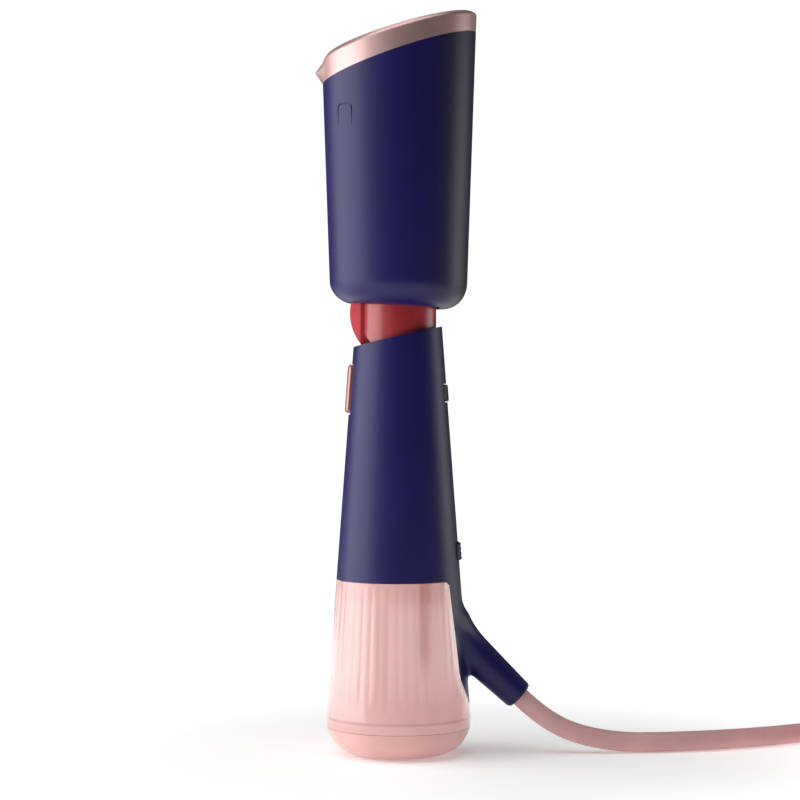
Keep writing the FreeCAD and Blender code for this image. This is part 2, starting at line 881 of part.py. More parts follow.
pump_radius = Size(9)
pump_low = deck_top + port_height + 9
pump_length = Size(34)
pump_top = pump_low + pump_length
coil_low = pump_low + 9
node(tube("suction_hose", 3.6, 2.5, pump_low - deck_top - 3, valve_x, 0, deck_top + 3), "suction_hose")
node(rod("pump_body", pump_radius, pump_length, valve_x, 0, pump_low), "pump_body")
node(tube("pump_coil", pump_radius + 3, pump_radius, 15, valve_x, 0, coil_low), "pump_coil")
mounts = [
    tube(f"mount_{i}", pump_radius + 1.6, pump_radius, 3, valve_x, 0, level)
    for i, level in enumerate((pump_low, pump_top - 3))
]
node(group("pump_mounts", *mounts), "pump_mounts")
delivery_route = [
    (valve_x, 0, pump_top),
    (valve_x, 0, pump_top + 11),
    (0, 0, pump_top + 24),
    (0, 0, seat_top - seat_thickness),
]
node(bent_tube("delivery_hose", delivery_route, hose_radius, 1.2), "delivery_hose")

chassis_low = tank_top + 22
chassis_high = mouth - 15
chassis_x = Size(8.6)
chassis_thickness = Size(1.6)
board_x = chassis_x + chassis_thickness + 0.4
board_thickness = Size(1.6)
board_face = board_x + board_thickness
chassis_length = chassis_high - chassis_low
chassis_middle = chassis_x + chassis_thickness / 2
board_middle = board_x + board_thickness / 2
node(block("chassis", chassis_thickness, 25, chassis_length, chassis_middle, 0, chassis_low), "chassis")
node(
    block("control_board", board_thickness, 20, chassis_length - 8, board_middle, 0, chassis_low + 4),
    "control_board",
)
node(
    group(
        "board_parts",
        block("relay", 6, 12, 15, board_face + 3, 2, chassis_low + 8),
        block("triac", 3, 9, 11, board_face + 1.5, -3, chassis_low + 26),
        rod_x("capacitor", 3, board_face, 5, 5, chassis_low + 33),
        rod_x("buzzer", 2.5, board_face, 3, -5, chassis_low + 43),
    ),
    "board_parts",
)
power_middle = (power_top + power_low) / 2
node(
    block("power_switch", 3, 5, 5, board_face + 1.5, 0, power_middle - 2.5),
    "power_switch",
)
press_turn = FreeCAD.Rotation(FreeCAD.Vector(0, 1, 0), 90)


def press_springs(name, start_x, end_x, spread, level):
    """A pair of small coil springs lying along X, one each side of the middle."""
    pair = []
    length = float(end_x) - float(start_x) - 1.7
    for side in (-1, 1):
        base = FreeCAD.Vector(float(start_x) + 0.2, side * float(spread), float(level))
        laid = FreeCAD.Placement(base, press_turn)
        pair.append(spring(f"{name}_{side + 1}", 1.2, 0.2, length / 3, 3, laid))
    return group(name, *pair)


power_inner = grip_radius(power_top) - 4.2
node(press_springs("power_springs", board_face, power_inner * 0.92, 5, power_middle), "power_springs")
bracket_x = Size(-8.8)
switch_top = trigger_low + 7
node(block("switch_bracket", 2, 12, 18, bracket_x, 0, trigger_low - 1), "switch_bracket")
node(block("trigger_switch", 4.8, 5, 6, bracket_x - 3.4, 0, trigger_low + 1), "trigger_switch")
trigger_inner = grip_radius(trigger_top) - 4.6
trigger_spring_base = FreeCAD.Vector(float(bracket_x) - 1.2, 0, float(switch_top) + 4)
trigger_spring_turn = FreeCAD.Rotation(FreeCAD.Vector(0, -1, 0), 90)
trigger_spring_length = float(trigger_inner) + float(bracket_x) - 1.6
node(
    spring(
        "trigger_spring", 1.7, 0.3, trigger_spring_length / 3, 3,
        FreeCAD.Placement(trigger_spring_base, trigger_spring_turn),
    ),
    "trigger_spring",
)

# Tank latch: a rocker that the release button tips, lifting its hook out of the tank lid
latch_x = Size(6)
latch_z = deck_top + 2.8
latch_half = Size(2.4)
release_inner = grip_radius(release_top) - 4.4
upright_x = release_inner - 1.7
hook_tip = tank_top - 1.5
bar_length = upright_x - latch_x + 3.9
bar_middle = (upright_x + latch_x - 2.1) / 2
latch_bar = block("latch_bar", bar_length, latch_half * 2, 2.6, bar_middle, 0, latch_z - 1.3)
latch_parts = join(
    "latch_parts",
    latch_bar,
    block("latch_upright", 1.8, latch_half * 2, release_top - latch_z - 1, upright_x, 0, latch_z),
    block("latch_hook", 2.2, latch_half * 2, latch_z - hook_tip, hook_x, 0, hook_tip),
)
latch_pin_radius = Size(0.8)
latch_bore = rod_y("latch_bore", latch_pin_radius + fit, -latch_half, latch_half * 2, latch_x, latch_z)
node(cut("tank_latch", latch_parts, latch_bore), "tank_latch")
cheek = Size(1.8)
cheek_y = latch_half + gap + cheek / 2
pin_half_length = latch_half + gap + cheek
pin_at = {"x": latch_x, "z": latch_z}
cheeks = []
for side in (-1, 1):
    number = side + 1
    cheek_height = release_top - deck_top
    cheek_block = block(f"cheek_{number}", 12, cheek, cheek_height, latch_x + 3, cheek_y * side, deck_top)
    hole = rod_y(f"cheek_hole_{number}", latch_pin_radius, -pin_half_length, pin_half_length * 2, **pin_at)
    cheeks.append(cut(f"latch_cheek_{number}", cheek_block, hole))
node(group("latch_bracket", *cheeks), "latch_bracket")
node(rod_y("latch_pin", latch_pin_radius, -pin_half_length, pin_half_length * 2, **pin_at), "latch_pin")
release_middle = (release_top + release_low) / 2
node(
    press_springs("release_springs", latch_x + 9, release_inner * 0.97, cheek_y + 0.7, release_middle),
    "release_springs",
)


# Tank: a clear vessel in a base cap, closed by a lid that runs on the deck's rails
def tank_form(name, inset, low, high):
    """The tank's outer form with its rounded foot, moved in by inset, between two levels."""
    form = turned(name, cone(inset, inset, tank_top + 2))
    round_edges(form, cell("base_corner") - inset, lambda edge: edge.BoundBox.ZMax < float(inset) + 0.1)
    for level, far in ((low, -foot_radius), (high, tank_top + foot_radius)):
        trim(form, [(-grip_far, level), (grip_far, level), (grip_far, far), (-grip_far, far)])
    return form


def beside_spine(form, inset, high):
    """Cuts away the side of a form that faces the spine, clear of it by the gap and an inset."""
    step = cell("spine_tip_height") - inset - gap
    corners = spine_line(inset + gap, step, high + 5)
    return trim(form, [*corners, (grip_far, high + 5), (grip_far, step)])


tank_wall = cell("tank_wall")
base_top = cell("base_height")
vessel_top = tank_top - gap
floor_thickness = Size(2.6)
lid_low = vessel_top - cell("lid_thickness")
slots = rail_tool("slot", Size(0.7))
exit_low = tank_top - rail_drop - flange_drop - 0.4
slot_exit = [
    block(f"exit_{i}", foot_radius, 6, tank_top - exit_low + 0.6, foot_radius * 0.8, rail_y * side, exit_low)
    for i, side in enumerate((-1, 1))
]
slot_tools = join("slot_tools", *slots, *slot_exit)
hook_pocket = block(
    "hook_pocket",
    14,
    latch_half * 2 + 0.8,
    vessel_top - hook_tip + 0.7,
    centre_x=hook_x + 5.5,
    low_z=hook_tip - 0.7,
)
vessel_form = beside_spine(tank_form("vessel_form", Size(0), base_top, vessel_top), Size(0), vessel_top)
vessel_hollow = tank_form("vessel_hollow", tank_wall, base_top + floor_thickness, vessel_top + 1)
beside_spine(vessel_hollow, tank_wall, vessel_top + 1)
vessel_skin = cut("vessel_skin", vessel_form, vessel_hollow)
node(cut("tank_vessel", vessel_skin, slot_tools, hook_pocket), "tank_vessel")

lid_inset = tank_wall + 0.05
lid_form = beside_spine(tank_form("lid_form", lid_inset, lid_low, vessel_top), lid_inset, vessel_top)
plug_x = -deck_radius * 0.72
valve_radius = Size(2.4)
filler_radius = Size(4.2)
filler_parts = join(
    "filler_parts",
    rod("filler_cap", filler_radius + 1.2, 1.4, plug_x, 0, vessel_top - 1.4),
    rod("filler_stem", filler_radius, cell("lid_thickness") + 1.5, plug_x, 0, lid_low - 1.5),
)
valve_rod = rod("outlet_valve", valve_radius, cell("lid_thickness") + 2, valve_x, 0, lid_low - 2)
node(cut("tank_lid", lid_form, slot_tools, hook_pocket, filler_parts, valve_rod), "tank_lid")
node(filler_parts, "filler_plug")
node(valve_rod, "outlet_valve")
dip_low = base_top + floor_thickness + 3
node(tube("dip_tube", 2.6, 1.6, lid_low - 2 - dip_low, valve_x, 0, dip_low), "dip_tube")
seal_outer = beside_spine(tank_form("seal_outer", lid_inset, lid_low - 1.5, lid_low), lid_inset, lid_low)
seal_inset = tank_wall + 2
seal_inner = beside_spine(tank_form("seal_inner", seal_inset, lid_low - 2, lid_low + 1), seal_inset, lid_low)
node(cut("lid_seal", seal_outer, seal_inner), "lid_seal")

base_wall = Size(2.6)
pad_radius = Size(13)
pad_thickness = Size(0.8)
pad_recess = rod("pad_recess", pad_radius, pad_thickness)
base_form = tank_form("base_form", Size(0), Size(-1), base_top)
base_hollow = tank_form("base_hollow", base_wall, base_wall, base_top + 1)
node(cut("tank_base", base_form, base_hollow, pad_recess), "tank_base")
node(rod("foot_pad", pad_radius, pad_thickness), "foot_pad")

# Mains lead: down from the sleeve to the floor, then off to a coil with the plug on top of it
node(
    cut(
        "cord_grommet",
        rod("grommet_outer", bore_radius, 12, exit_x, 0, exit_z, (0, -1, 0), sleeve_turn),
        rod("grommet_bore", cord_radius, 12, exit_x, 0, exit_z, (0, -1, 0), sleeve_turn),
    ),
    "cord_grommet",
)
node(rod("cord_entry", cord_radius, sleeve_run - 11, exit_x, 0, exit_z, (0, -1, 0), sleeve_turn), "cord_entry")
lying = cord_radius + 0.02
coil_x = Size(239)
coil_radius = cell("coil_radius")
cord_route = [
    (exit_x, 0, exit_z),
    (61.3, 0, 17.3),
    (76.0, 0, 8.8),
    (97.0, 0.6, lying),
    (119.0, 2.5, lying),
    (141.0, 8.0, lying),
    (163.0, 17.0, lying),
    (184.0, 28.0, lying),
    (203.0, 37.5, lying + 0.9),
    (221.0, 45.0, lying + 0.9),
]
node(bent_tube("power_cord", cord_route, cord_radius), "power_cord")
tie = cell("tie_thickness")
coil_half = cord_radius * 2
layers = 4
coil_height = cord_radius * 2 * layers


def coil_section(spread):
    """The coil's cross-section, widened all round."""
    inner = coil_radius - coil_half - spread
    outer = coil_radius + coil_half + spread
    low = tie - spread
    high = tie + coil_height + spread
    return [(inner, low), (outer, low), (outer, high), (inner, high)]


coil = turned("cord_coil", coil_section(0))
round_edges(coil, cord_radius * 0.8, lambda edge: True)
node(place(coil, coil_x), "cord_coil")
tie_ring = place(turn(turned("tie_ring", coil_section(tie)), coil_section(0), kind="Groove"), coil_x)
tie_width = block("tie_width", coil_half * 3, 12, coil_height * 2, coil_x - coil_radius)
node(overlap("cord_tie", tie_ring, tie_width), "cord_tie")
tail_level = tie + coil_height + cord_radius
tail_x = coil_x + 8
tail_y = Size(5.5)
tail_radius = Size(40)
plug_level = tie + coil_height + cord_radius * 2 + 0.1
tail_route = [(coil_x - 24, 38.0, tail_level - 7.6), (coil_x - 8, 43.5, tail_level - 2.6)]
for step in range(9):
    angle = math.radians(90 - 22.5 * step)
    x = tail_x + tail_radius * math.cos(angle)
    y = tail_y + tail_radius * math.sin(angle)
    tail_route.append((x, y, tail_level + (plug_level - tail_level) * step / 8))
plug_end_x = tail_x - 11
plug_y = tail_y - tail_radius
tail_route.append((plug_end_x, plug_y, plug_level))
node(bent_tube("cord_tail", tail_route, cord_radius), "cord_tail")
plug_length = Size(34)
plug_neck = Size(14)
plug_relief = doc.addObject("Part::Cone", "plug_relief")
bind(plug_relief, "Radius1", cord_radius + 0.9)
bind(plug_relief, "Radius2", cord_radius + 2.6)
bind(plug_relief, "Height", plug_neck)
place(plug_relief, plug_end_x, plug_y, plug_level, (0, -1, 0), 90)
plug_body = new_body("plug_block")
plug_back = plug_end_x - plug_neck + 1
plug_face = plug_end_x - plug_length
plug_outline = [
    (plug_back, plug_y - 7),
    (plug_back, plug_y + 7),
    (plug_back - 9, plug_y + 15),
    (plug_face, plug_y + 16.5),
    (plug_face, plug_y - 16.5),
    (plug_back - 9, plug_y - 15),
]
pad(plug_body, draw_outline(sketch_on(plug_body, "XY_Plane", "plug_plan"), plug_outline), cord_radius * 4)
round_edges(plug_body, 2, lambda edge: True)
place(plug_body, 0, 0, plug_level - cord_radius * 2)
node(join("plug_body", plug_body, plug_relief), "plug_body")
pin_length = Size(19)
pins = [
    rod_x(f"plug_pin_{i}", 2.4, plug_face - pin_length, pin_length, plug_y + offset, plug_level)
    for i, offset in enumerate((-9.5, 9.5))
]
node(group("plug_pins", *pins), "plug_pins")

# Check everything, then write one file for each piece
doc.recompute()
for item in doc.Objects:
    if "Invalid" in item.State or "Error" in item.State:
        raise RuntimeError(f"{item.Name} failed to build")
for item in nodes:
    if item.Shape.isNull() or not item.Shape.isValid() or not item.Shape.Solids:
        raise RuntimeError(f"{item.Label} has no valid solid")
os.makedirs("parts", exist_ok=True)
for item in nodes:
    item.Shape.exportStep(f"parts/{item.Label}.step")
print(len(nodes), "parts written")
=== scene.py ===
import json
import math
import bmesh
import bpy
import numpy as np
from mathutils import Matrix, Vector


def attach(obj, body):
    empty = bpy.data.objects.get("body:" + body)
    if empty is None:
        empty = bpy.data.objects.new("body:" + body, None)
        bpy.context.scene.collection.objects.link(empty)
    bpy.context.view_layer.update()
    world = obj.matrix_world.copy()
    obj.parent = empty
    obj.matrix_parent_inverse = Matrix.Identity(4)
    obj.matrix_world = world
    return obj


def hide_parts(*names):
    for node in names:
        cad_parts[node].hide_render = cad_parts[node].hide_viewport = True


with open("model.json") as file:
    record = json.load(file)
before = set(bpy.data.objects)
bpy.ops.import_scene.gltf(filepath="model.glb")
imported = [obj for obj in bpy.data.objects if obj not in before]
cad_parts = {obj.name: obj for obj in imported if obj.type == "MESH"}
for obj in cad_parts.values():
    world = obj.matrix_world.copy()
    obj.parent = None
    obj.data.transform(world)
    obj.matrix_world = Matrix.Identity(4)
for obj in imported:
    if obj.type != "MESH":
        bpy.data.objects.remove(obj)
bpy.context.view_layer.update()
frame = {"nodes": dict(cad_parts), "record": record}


# materials

# one output of a shader tree, so that patterns can be written as sums
class Flow:
    def __init__(self, tree, out):
        self.tree = tree
        self.out = out

    def node(self, kind, sockets, **settings):
        made = self.tree.nodes.new(kind)
        for key, value in settings.items():
            setattr(made, key, value)
        for key, value in sockets.items():
            if isinstance(value, Flow):
                self.tree.links.new(value.out, made.inputs[key])
            else:
                made.inputs[key].default_value = value
        return made

    def math(self, kind, other=0.0):
        return Flow(self.tree, self.node("ShaderNodeMath", {0: self, 1: other}, operation=kind).outputs[0])

    def __add__(self, other):
        return self.math("ADD", other)

    def __sub__(self, other):
        return self.math("SUBTRACT", other)

    def __mul__(self, other):
        return self.math("MULTIPLY", other)

    def noise(self, scale, detail=3.0):
        sockets = {"Vector": self, "Scale": scale, "Detail": detail}
        return Flow(self.tree, self.node("ShaderNodeTexNoise", sockets).outputs["Fac"])

    def axis(self, name):
        return Flow(self.tree, self.node("ShaderNodeSeparateXYZ", {0: self}).outputs[name])

    # 0 below low, 1 above high, smooth between
    def step(self, low, high):
        sockets = {"Value": self, "From Min": low, "From Max": high}
        made = self.node("ShaderNodeMapRange", sockets, interpolation_type="SMOOTHSTEP")
        return Flow(self.tree, made.outputs[0])

    # first where this is 0, second where it is 1, as colours
    def mix(self, first, second):
        made = self.node("ShaderNodeMix", {}, data_type="RGBA")
        self.tree.links.new(self.out, made.inputs["Factor"])
        for socket, value in ((made.inputs[6], first), (made.inputs[7], second)):
            if isinstance(value, Flow):
                self.tree.links.new(value.out, socket)
            else:
                socket.default_value = (*value, 1)
        return Flow(self.tree, made.outputs[2])


# a principled material; gives its tree's object coordinates and its shader
def newMaterial(name, **fixed):
    mat = bpy.data.materials.new(name)
    mat.use_nodes = True
    tree = mat.node_tree
    shader = tree.nodes["Principled BSDF"]
    for key, value in fixed.items():
        shader.inputs[key.replace("_", " ")].default_value = value
    place = Flow(tree, tree.nodes.new("ShaderNodeTexCoord").outputs["Object"])
    return mat, place, shader


def feed(shader, socket, flow):
    flow.tree.links.new(flow.out, shader.inputs[socket])


def bump(shader, height, distance):
    made = height.node("ShaderNodeBump", {"Height": height, "Distance": distance, "Strength": 1.0})
    height.tree.links.new(made.outputs["Normal"], shader.inputs["Normal"])


def shade(colour, amount):
    return [value * amount for value in colour]


# moulded plastic: fine grain, and a little dust and handling in the finish
def plastic(name, colour, rough, grain=4e-5, wear=0.12, **fixed):
    mat, place, shader = newMaterial(name, **fixed)
    cloud = place.noise(38.0)
    fine = place.noise(2600.0, 2.0)
    feed(shader, "Base Color", cloud.step(0.35, 0.65).mix(shade(colour, 1 - wear), shade(colour, 1 + wear)))
    feed(shader, "Roughness", cloud * 0.1 + fine * 0.06 + (rough - 0.08))
    if grain:
        bump(shader, fine, grain)
    return mat


# metal whose fine marks run across the axis with the largest stretch
def metal(name, colour, rough, lines=(1.0, 1.0, 1.0), wear=0.1, **fixed):
    mat, place, shader = newMaterial(name, Metallic=1.0, **fixed)
    stretched = place.node("ShaderNodeVectorMath", {0: place, 1: lines}, operation="MULTIPLY")
    marks = Flow(place.tree, stretched.outputs[0]).noise(900.0, 4.0)
    cloud = place.noise(60.0)
    feed(shader, "Base Color", cloud.step(0.3, 0.7).mix(shade(colour, 1 - wear), colour))
    feed(shader, "Roughness", marks * 0.16 + cloud * 0.08 + (rough - 0.12))
    bump(shader, marks, 8e-6)
    return mat


# matte navy paint with a soft sheen; the back above the tank is painted greyer, a painted reflection of the right-hand
# light
def paintedShell():
    mat, place, shader = newMaterial("navy shell", Specular_IOR_Level=0.36)
    cloud = place.noise(30.0)
    fine = place.noise(2400.0, 2.0)
    # painted reflection: the back above the tank turns greyer, where the right-hand light shows on it
    spine = place.axis("X").step(0.010, 0.028) * place.axis("Z").step(0.050, 0.075)
    front = cloud.step(0.3, 0.7).mix((0.0050, 0.0034, 0.070), (0.0060, 0.0042, 0.082))
    feed(shader, "Base Color", spine.mix(front, (0.011, 0.010, 0.032)))
    feed(shader, "Roughness", cloud * 0.06 + fine * 0.05 + 0.36)
    bump(shader, fine, 2.5e-5)
    return mat


def ringMetal():
    mat, place, shader = newMaterial("rose gold ring", Metallic=0.72)
    marks = place.noise(1500.0, 3.0)
    cloud = place.noise(50.0)
    feed(shader, "Base Color", cloud.step(0.3, 0.7).mix((0.54, 0.34, 0.33), (0.61, 0.40, 0.385)))
    feed(shader, "Roughness", marks * 0.05 + cloud * 0.08 + 0.36)
    bump(shader, marks, 5e-7)
    return mat


def redPaint():
    mat, place, shader = newMaterial("joint red", Coat_Weight=0.35, Coat_Roughness=0.22)
    cloud = place.noise(70.0)
    fine = place.noise(1900.0, 2.0)
    # painted light and shade: the front shield is a brighter, lit copy of the one red and the drum a darker, shaded
    # copy
    front = place.axis("X").step(-0.0160, -0.0172)
    shadedDrum = cloud.step(0.3, 0.7).mix((0.34, 0.018, 0.024), (0.41, 0.024, 0.032))
    feed(shader, "Base Color", front.mix(shadedDrum, (0.90, 0.115, 0.135)))
    feed(shader, "Roughness", fine * 0.08 + cloud * 0.1 + 0.26)
    bump(shader, fine, 1e-5)
    return mat


# clear tinted wall, milkier low down, with painted shade where the rear rail and the floor's rim lie behind it, and a
# faint painted glow
def clearPink():
    # painted light: the emission gives the clear wall a faint glow, coloured below like its tint and shade bands
    mat, place, shader = newMaterial("clear pink", Coat_Weight=0.5, Coat_Roughness=0.06, Emission_Strength=0.28)
    height = place.axis("Z")
    cloud = place.noise(45.0)
    low = height.step(0.030, 0.012)
    # painted shade: a darker band where the rear rail stands behind the wall
    railShade = place.axis("X").step(0.0078, 0.0100) * place.axis("X").step(0.0150, 0.0122)
    railShade = railShade * height.step(0.030, 0.050) * 0.7
    # painted shade: a dark line where the floor's rim lies behind the wall
    rim = height.step(0.0158, 0.0164) * height.step(0.0178, 0.0170) * 0.6
    plain = low.mix((0.70, 0.45, 0.43), (0.66, 0.41, 0.395))
    tintAndShade = railShade.mix(plain, (0.50, 0.23, 0.22))
    feed(shader, "Base Color", rim.mix(tintAndShade, (0.42, 0.21, 0.205)))
    # the painted glow's colour, with the same painted shade bands
    feed(shader, "Emission Color", rim.mix(tintAndShade, (0.40, 0.2, 0.2)))
    feed(shader, "Roughness", cloud * 0.08 + 0.1)
    feed(shader, "Alpha", low * 0.2 + cloud * 0.06 + 0.50)
    bump(shader, cloud, 3e-5)
    return mat


def leadJacket():
    mat, place, shader = newMaterial("lead jacket", Specular_IOR_Level=0.4)
    cloud = place.noise(55.0)
    fine = place.noise(3000.0, 2.0)
    feed(shader, "Base Color", cloud.step(0.3, 0.7).mix((0.64, 0.36, 0.35), (0.72, 0.42, 0.405)))
    feed(shader, "Roughness", fine * 0.12 + 0.38)
    bump(shader, fine, 2e-5)
    return mat


finishes = {
    "shell": paintedShell(),
    "ring": ringMetal(),
    "plate": metal("sole plate", (0.72, 0.72, 0.74), 0.24, (1.0, 14.0, 1.0)),
    "cast": metal("cast chamber", (0.52, 0.52, 0.54), 0.5, wear=0.3),
    "element": metal("tinted element", (0.30, 0.25, 0.20), 0.4, wear=0.4),
    "silicone": plastic("silicone", (0.72, 0.70, 0.66), 0.5),
    "inner": plastic("inner moulding", (0.56, 0.55, 0.52), 0.5),
    "steel": metal("satin steel", (0.58, 0.58, 0.60), 0.3, (1.0, 1.0, 9.0)),
    "brass": metal("brass", (0.66, 0.46, 0.18), 0.3, (6.0, 1.0, 1.0)),
    "joint_red": redPaint(),
    "joint_dark": plastic("dark joint", (0.014, 0.012, 0.02), 0.5),
    "trigger": metal("rose trigger", (0.40, 0.21, 0.20), 0.42, (1.0, 8.0, 1.0)),
    "navy_button": plastic("navy button", (0.006, 0.005, 0.024), 0.45, Specular_IOR_Level=0.25),
    "copper": metal("enamelled copper", (0.52, 0.20, 0.10), 0.3, (1.0, 1.0, 30.0)),
    "pump": plastic("pump case", (0.68, 0.66, 0.60), 0.45),
    "board": plastic("board", (0.014, 0.11, 0.045), 0.35, Coat_Weight=0.4),
    "parts": plastic("board parts", (0.03, 0.03, 0.035), 0.4),
    "clear_pink": clearPink(),
    "pink": plastic("pink gloss", (0.78, 0.44, 0.41), 0.2, 1e-5, 0.05, Coat_Weight=0.4),
    "seal": plastic("seal", (0.78, 0.72, 0.70), 0.5),
    "lead": leadJacket(),
    "pad": plastic("foot pad", (0.30, 0.24, 0.24), 0.6, 8e-5),
}
for row in frame["record"]["subparts"]:
    mesh = frame["nodes"][row["node"]].data
    mesh.materials.clear()
    mesh.materials.append(finishes[row["material_slot"]])
print("materials", len(finishes))


# the forms that the grip, the tank and the head share

grip = {
    "footRadius": 0.0329,
    "slope": 0.0733,
    "tankTop": 0.0768,
    "mouth": 0.1831,
    "mouthSlope": 0.231,
    "wall": 0.0022,
    "spine": [(0.0310, 0.0228), (0.0270, 0.0340), (0.0252, 0.0510), (0.0225, 0.0735)],
    "spineCorner": [(0.0219, 0.0752), (0.0209, 0.0764), (0.0196, 0.0768)],
    "exit": (0.0533, 0, 0.0250),
    "exitDip": math.radians(43.5),
    "sleeveRadius": 0.0066,
    "sleeveTaper": 0.052,
    "sleeveRound": 0.0014,
    "sleeveReach": 0.042,
    "sleeveBlend": (0.0035, 0.0095),
}
head = {
    "foot": 0.1963,
    "footSlope": -0.053,
    "radius": 0.0299,
    "slope": 0.0345,
    "length": 0.1088,
    "seamSlope": 0.333,
    "ringHeight": 0.0107,
    "faceSlope": 0.296,
    "wall": 0.0022,
    "corner": 0.011,
}
gap = 0.0003


def gripRadius(z):
    return grip["footRadius"] - grip["slope"] * z


def headRadius(z):
    return head["radius"] + head["slope"] * (z - head["foot"])


def headFoot(x):
    return head["foot"] + head["footSlope"] * x


def seamHeight(x):
    return head["foot"] + head["length"] + head["seamSlope"] * x


def faceHeight(x):
    return head["foot"] + head["length"] + head["ringHeight"] + head["faceSlope"] * x


# mesh helpers

# points on an arc in the (radius, height) plane, in degrees
def arcPoints(centre, radius, start, end, count):
    turns = [math.radians(start + (end - start) * i / count) for i in range(count + 1)]
    return [(centre[0] + radius * math.cos(a), centre[1] + radius * math.sin(a)) for a in turns]


# the outline with its long runs split, so that it can follow a curve
def divided(outline, longest):
    points = [outline[0]]
    for a, b in zip(outline, outline[1:]):
        count = max(1, math.ceil(math.dist(a, b) / longest))
        shares = [i / count for i in range(1, count + 1)]
        points += [(a[0] + (b[0] - a[0]) * t, a[1] + (b[1] - a[1]) * t) for t in shares]
    return points


# turns (radius, height) points about Z. A closed outline makes a ring
def lathe(outline, steps, closed=False):
    bm = bmesh.new()
    verts = [bm.verts.new((r, 0, z)) for r, z in outline]
    pairs = list(zip(verts, verts[1:]))
    if closed:
        pairs.append((verts[-1], verts[0]))
    edges = [bm.edges.new(pair) for pair in pairs]
    axis = {"axis": (0, 0, 1), "cent": (0, 0, 0), "dvec": (0, 0, 0)}
    bmesh.ops.spin(bm, geom=verts + edges, angle=math.tau, steps=steps, use_merge=True, **axis)
    bmesh.ops.remove_doubles(bm, verts=bm.verts, dist=1e-6)
    bmesh.ops.recalc_face_normals(bm, faces=bm.faces)
    return bm


# a side-view outline of (x, z) points, thick both ways from the middle plane
def prism(outline, half):
    bm = bmesh.new()
    face = bm.faces.new([bm.verts.new((x, -half, z)) for x, z in outline])
    grown = bmesh.ops.extrude_face_region(bm, geom=[face])["geom"]
    raised = [item for item in grown if isinstance(item, bmesh.types.BMVert)]
    bmesh.ops.translate(bm, verts=raised, vec=(0, half * 2, 0))
    bmesh.ops.recalc_face_normals(bm, faces=bm.faces)
    return bm


# a box between two corners, with the four edges along one axis rounded
def cuboid(low, high, round=0.0, axis=None):
    bm = bmesh.new()
    size = [b - a for a, b in zip(low, high)]
    middle = [(a + b) / 2 for a, b in zip(low, high)]
    bmesh.ops.create_cube(bm, size=1, matrix=Matrix.Translation(middle) @ Matrix.Diagonal((*size, 1)))
    if round:
        along = [e for e in bm.edges if abs((e.verts[0].co - e.verts[1].co)[axis]) > size[axis] / 2]
        bmesh.ops.bevel(bm, geom=along, offset=round, segments=6, profile=0.5, affect="EDGES")
    return bm


# a bar between two points
def roundBar(start, end, radius, sides=48, endRadius=None):
    start = Vector(start)
    end = Vector(end)
    bm = bmesh.new()
    way = end - start
    turn = way.to_track_quat("Z", "Y").to_matrix().to_4x4()
    where = Matrix.Translation((start + end) / 2) @ turn
    sizes = {"radius1": radius, "radius2": endRadius or radius, "depth": way.length}
    bmesh.ops.create_cone(bm, cap_ends=True, segments=sides, matrix=where, **sizes)
    return bm


def rawObject(name, bm):
    mesh = bpy.data.meshes.new(name)
    bm.to_mesh(mesh)
    bm.free()
    obj = bpy.data.objects.new(name, mesh)
    bpy.context.scene.collection.objects.link(obj)
    return obj


# the object's mesh with its modifiers applied
def baked(obj):
    bpy.context.view_layer.update()
    mesh = bpy.data.meshes.new_from_object(obj.evaluated_get(bpy.context.evaluated_depsgraph_get()))
    obj.modifiers.clear()
    obj.data = mesh
    return obj


# cuts each tool out of the object, and throws the tools away
def carve(obj, *tools):
    for i, bm in enumerate(tools):
        tool = rawObject(f"{obj.name} tool {i}", bm)
        cutter = obj.modifiers.new(tool.name, "BOOLEAN")
        cutter.operation = "DIFFERENCE"
        cutter.solver = "EXACT"
        cutter.object = tool
        baked(obj)
        bpy.data.objects.remove(tool)
    return obj


# gives an object its finish and its place in the frame
def finished(obj, body, slotName, stands=(), sharp=32):
    bm = bmesh.new()
    bm.from_mesh(obj.data)
    bmesh.ops.remove_doubles(bm, verts=bm.verts, dist=2e-7)
    bmesh.ops.dissolve_degenerate(bm, edges=bm.edges, dist=1e-7)
    for face in bm.faces:
        face.smooth = True
    bm.to_mesh(obj.data)
    bm.free()
    obj.data.set_sharp_from_angle(angle=math.radians(sharp))
    obj.data.materials.clear()
    obj.data.materials.append(finishes[slotName])
    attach(obj, body)
    if stands:
        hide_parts(*stands)
    print(obj.name, len(obj.data.polygons))
    return obj


# grip: one skin over the cone and the lead's sleeve, blended where they meet

# distance to the cone and the sleeve together, with a soft valley between them
def smoothField(points):
    x, y, z = points.T
    lean = math.cos(math.atan(grip["slope"]))
    cone = (np.hypot(x, y) - gripRadius(z)) * lean
    way = np.array((-math.cos(grip["exitDip"]), 0, math.sin(grip["exitDip"])))
    off = points - np.array(grip["exit"])
    along = off @ way
    across = np.linalg.norm(off - along[:, None] * way, axis=1)
    edge = grip["sleeveRound"]
    side = across - (grip["sleeveRadius"] + grip["sleeveTaper"] * along) + edge
    ends = np.maximum(-along, along - grip["sleeveReach"]) + edge
    outside = np.hypot(np.maximum(side, 0), np.maximum(ends, 0))
    sleeve = np.minimum(np.maximum(side, ends), 0) + outside - edge
    above = off @ np.array((math.sin(grip["exitDip"]), 0, math.cos(grip["exitDip"])))
    tight, soft = grip["sleeveBlend"]
    blend = tight + (soft - tight) * np.clip(0.5 + above / 0.010, 0, 1)
    mixed = np.clip(0.5 + 0.5 * (sleeve - cone) / blend, 0, 1)
    return sleeve + (cone - sleeve) * mixed - blend * mixed * (1 - mixed)


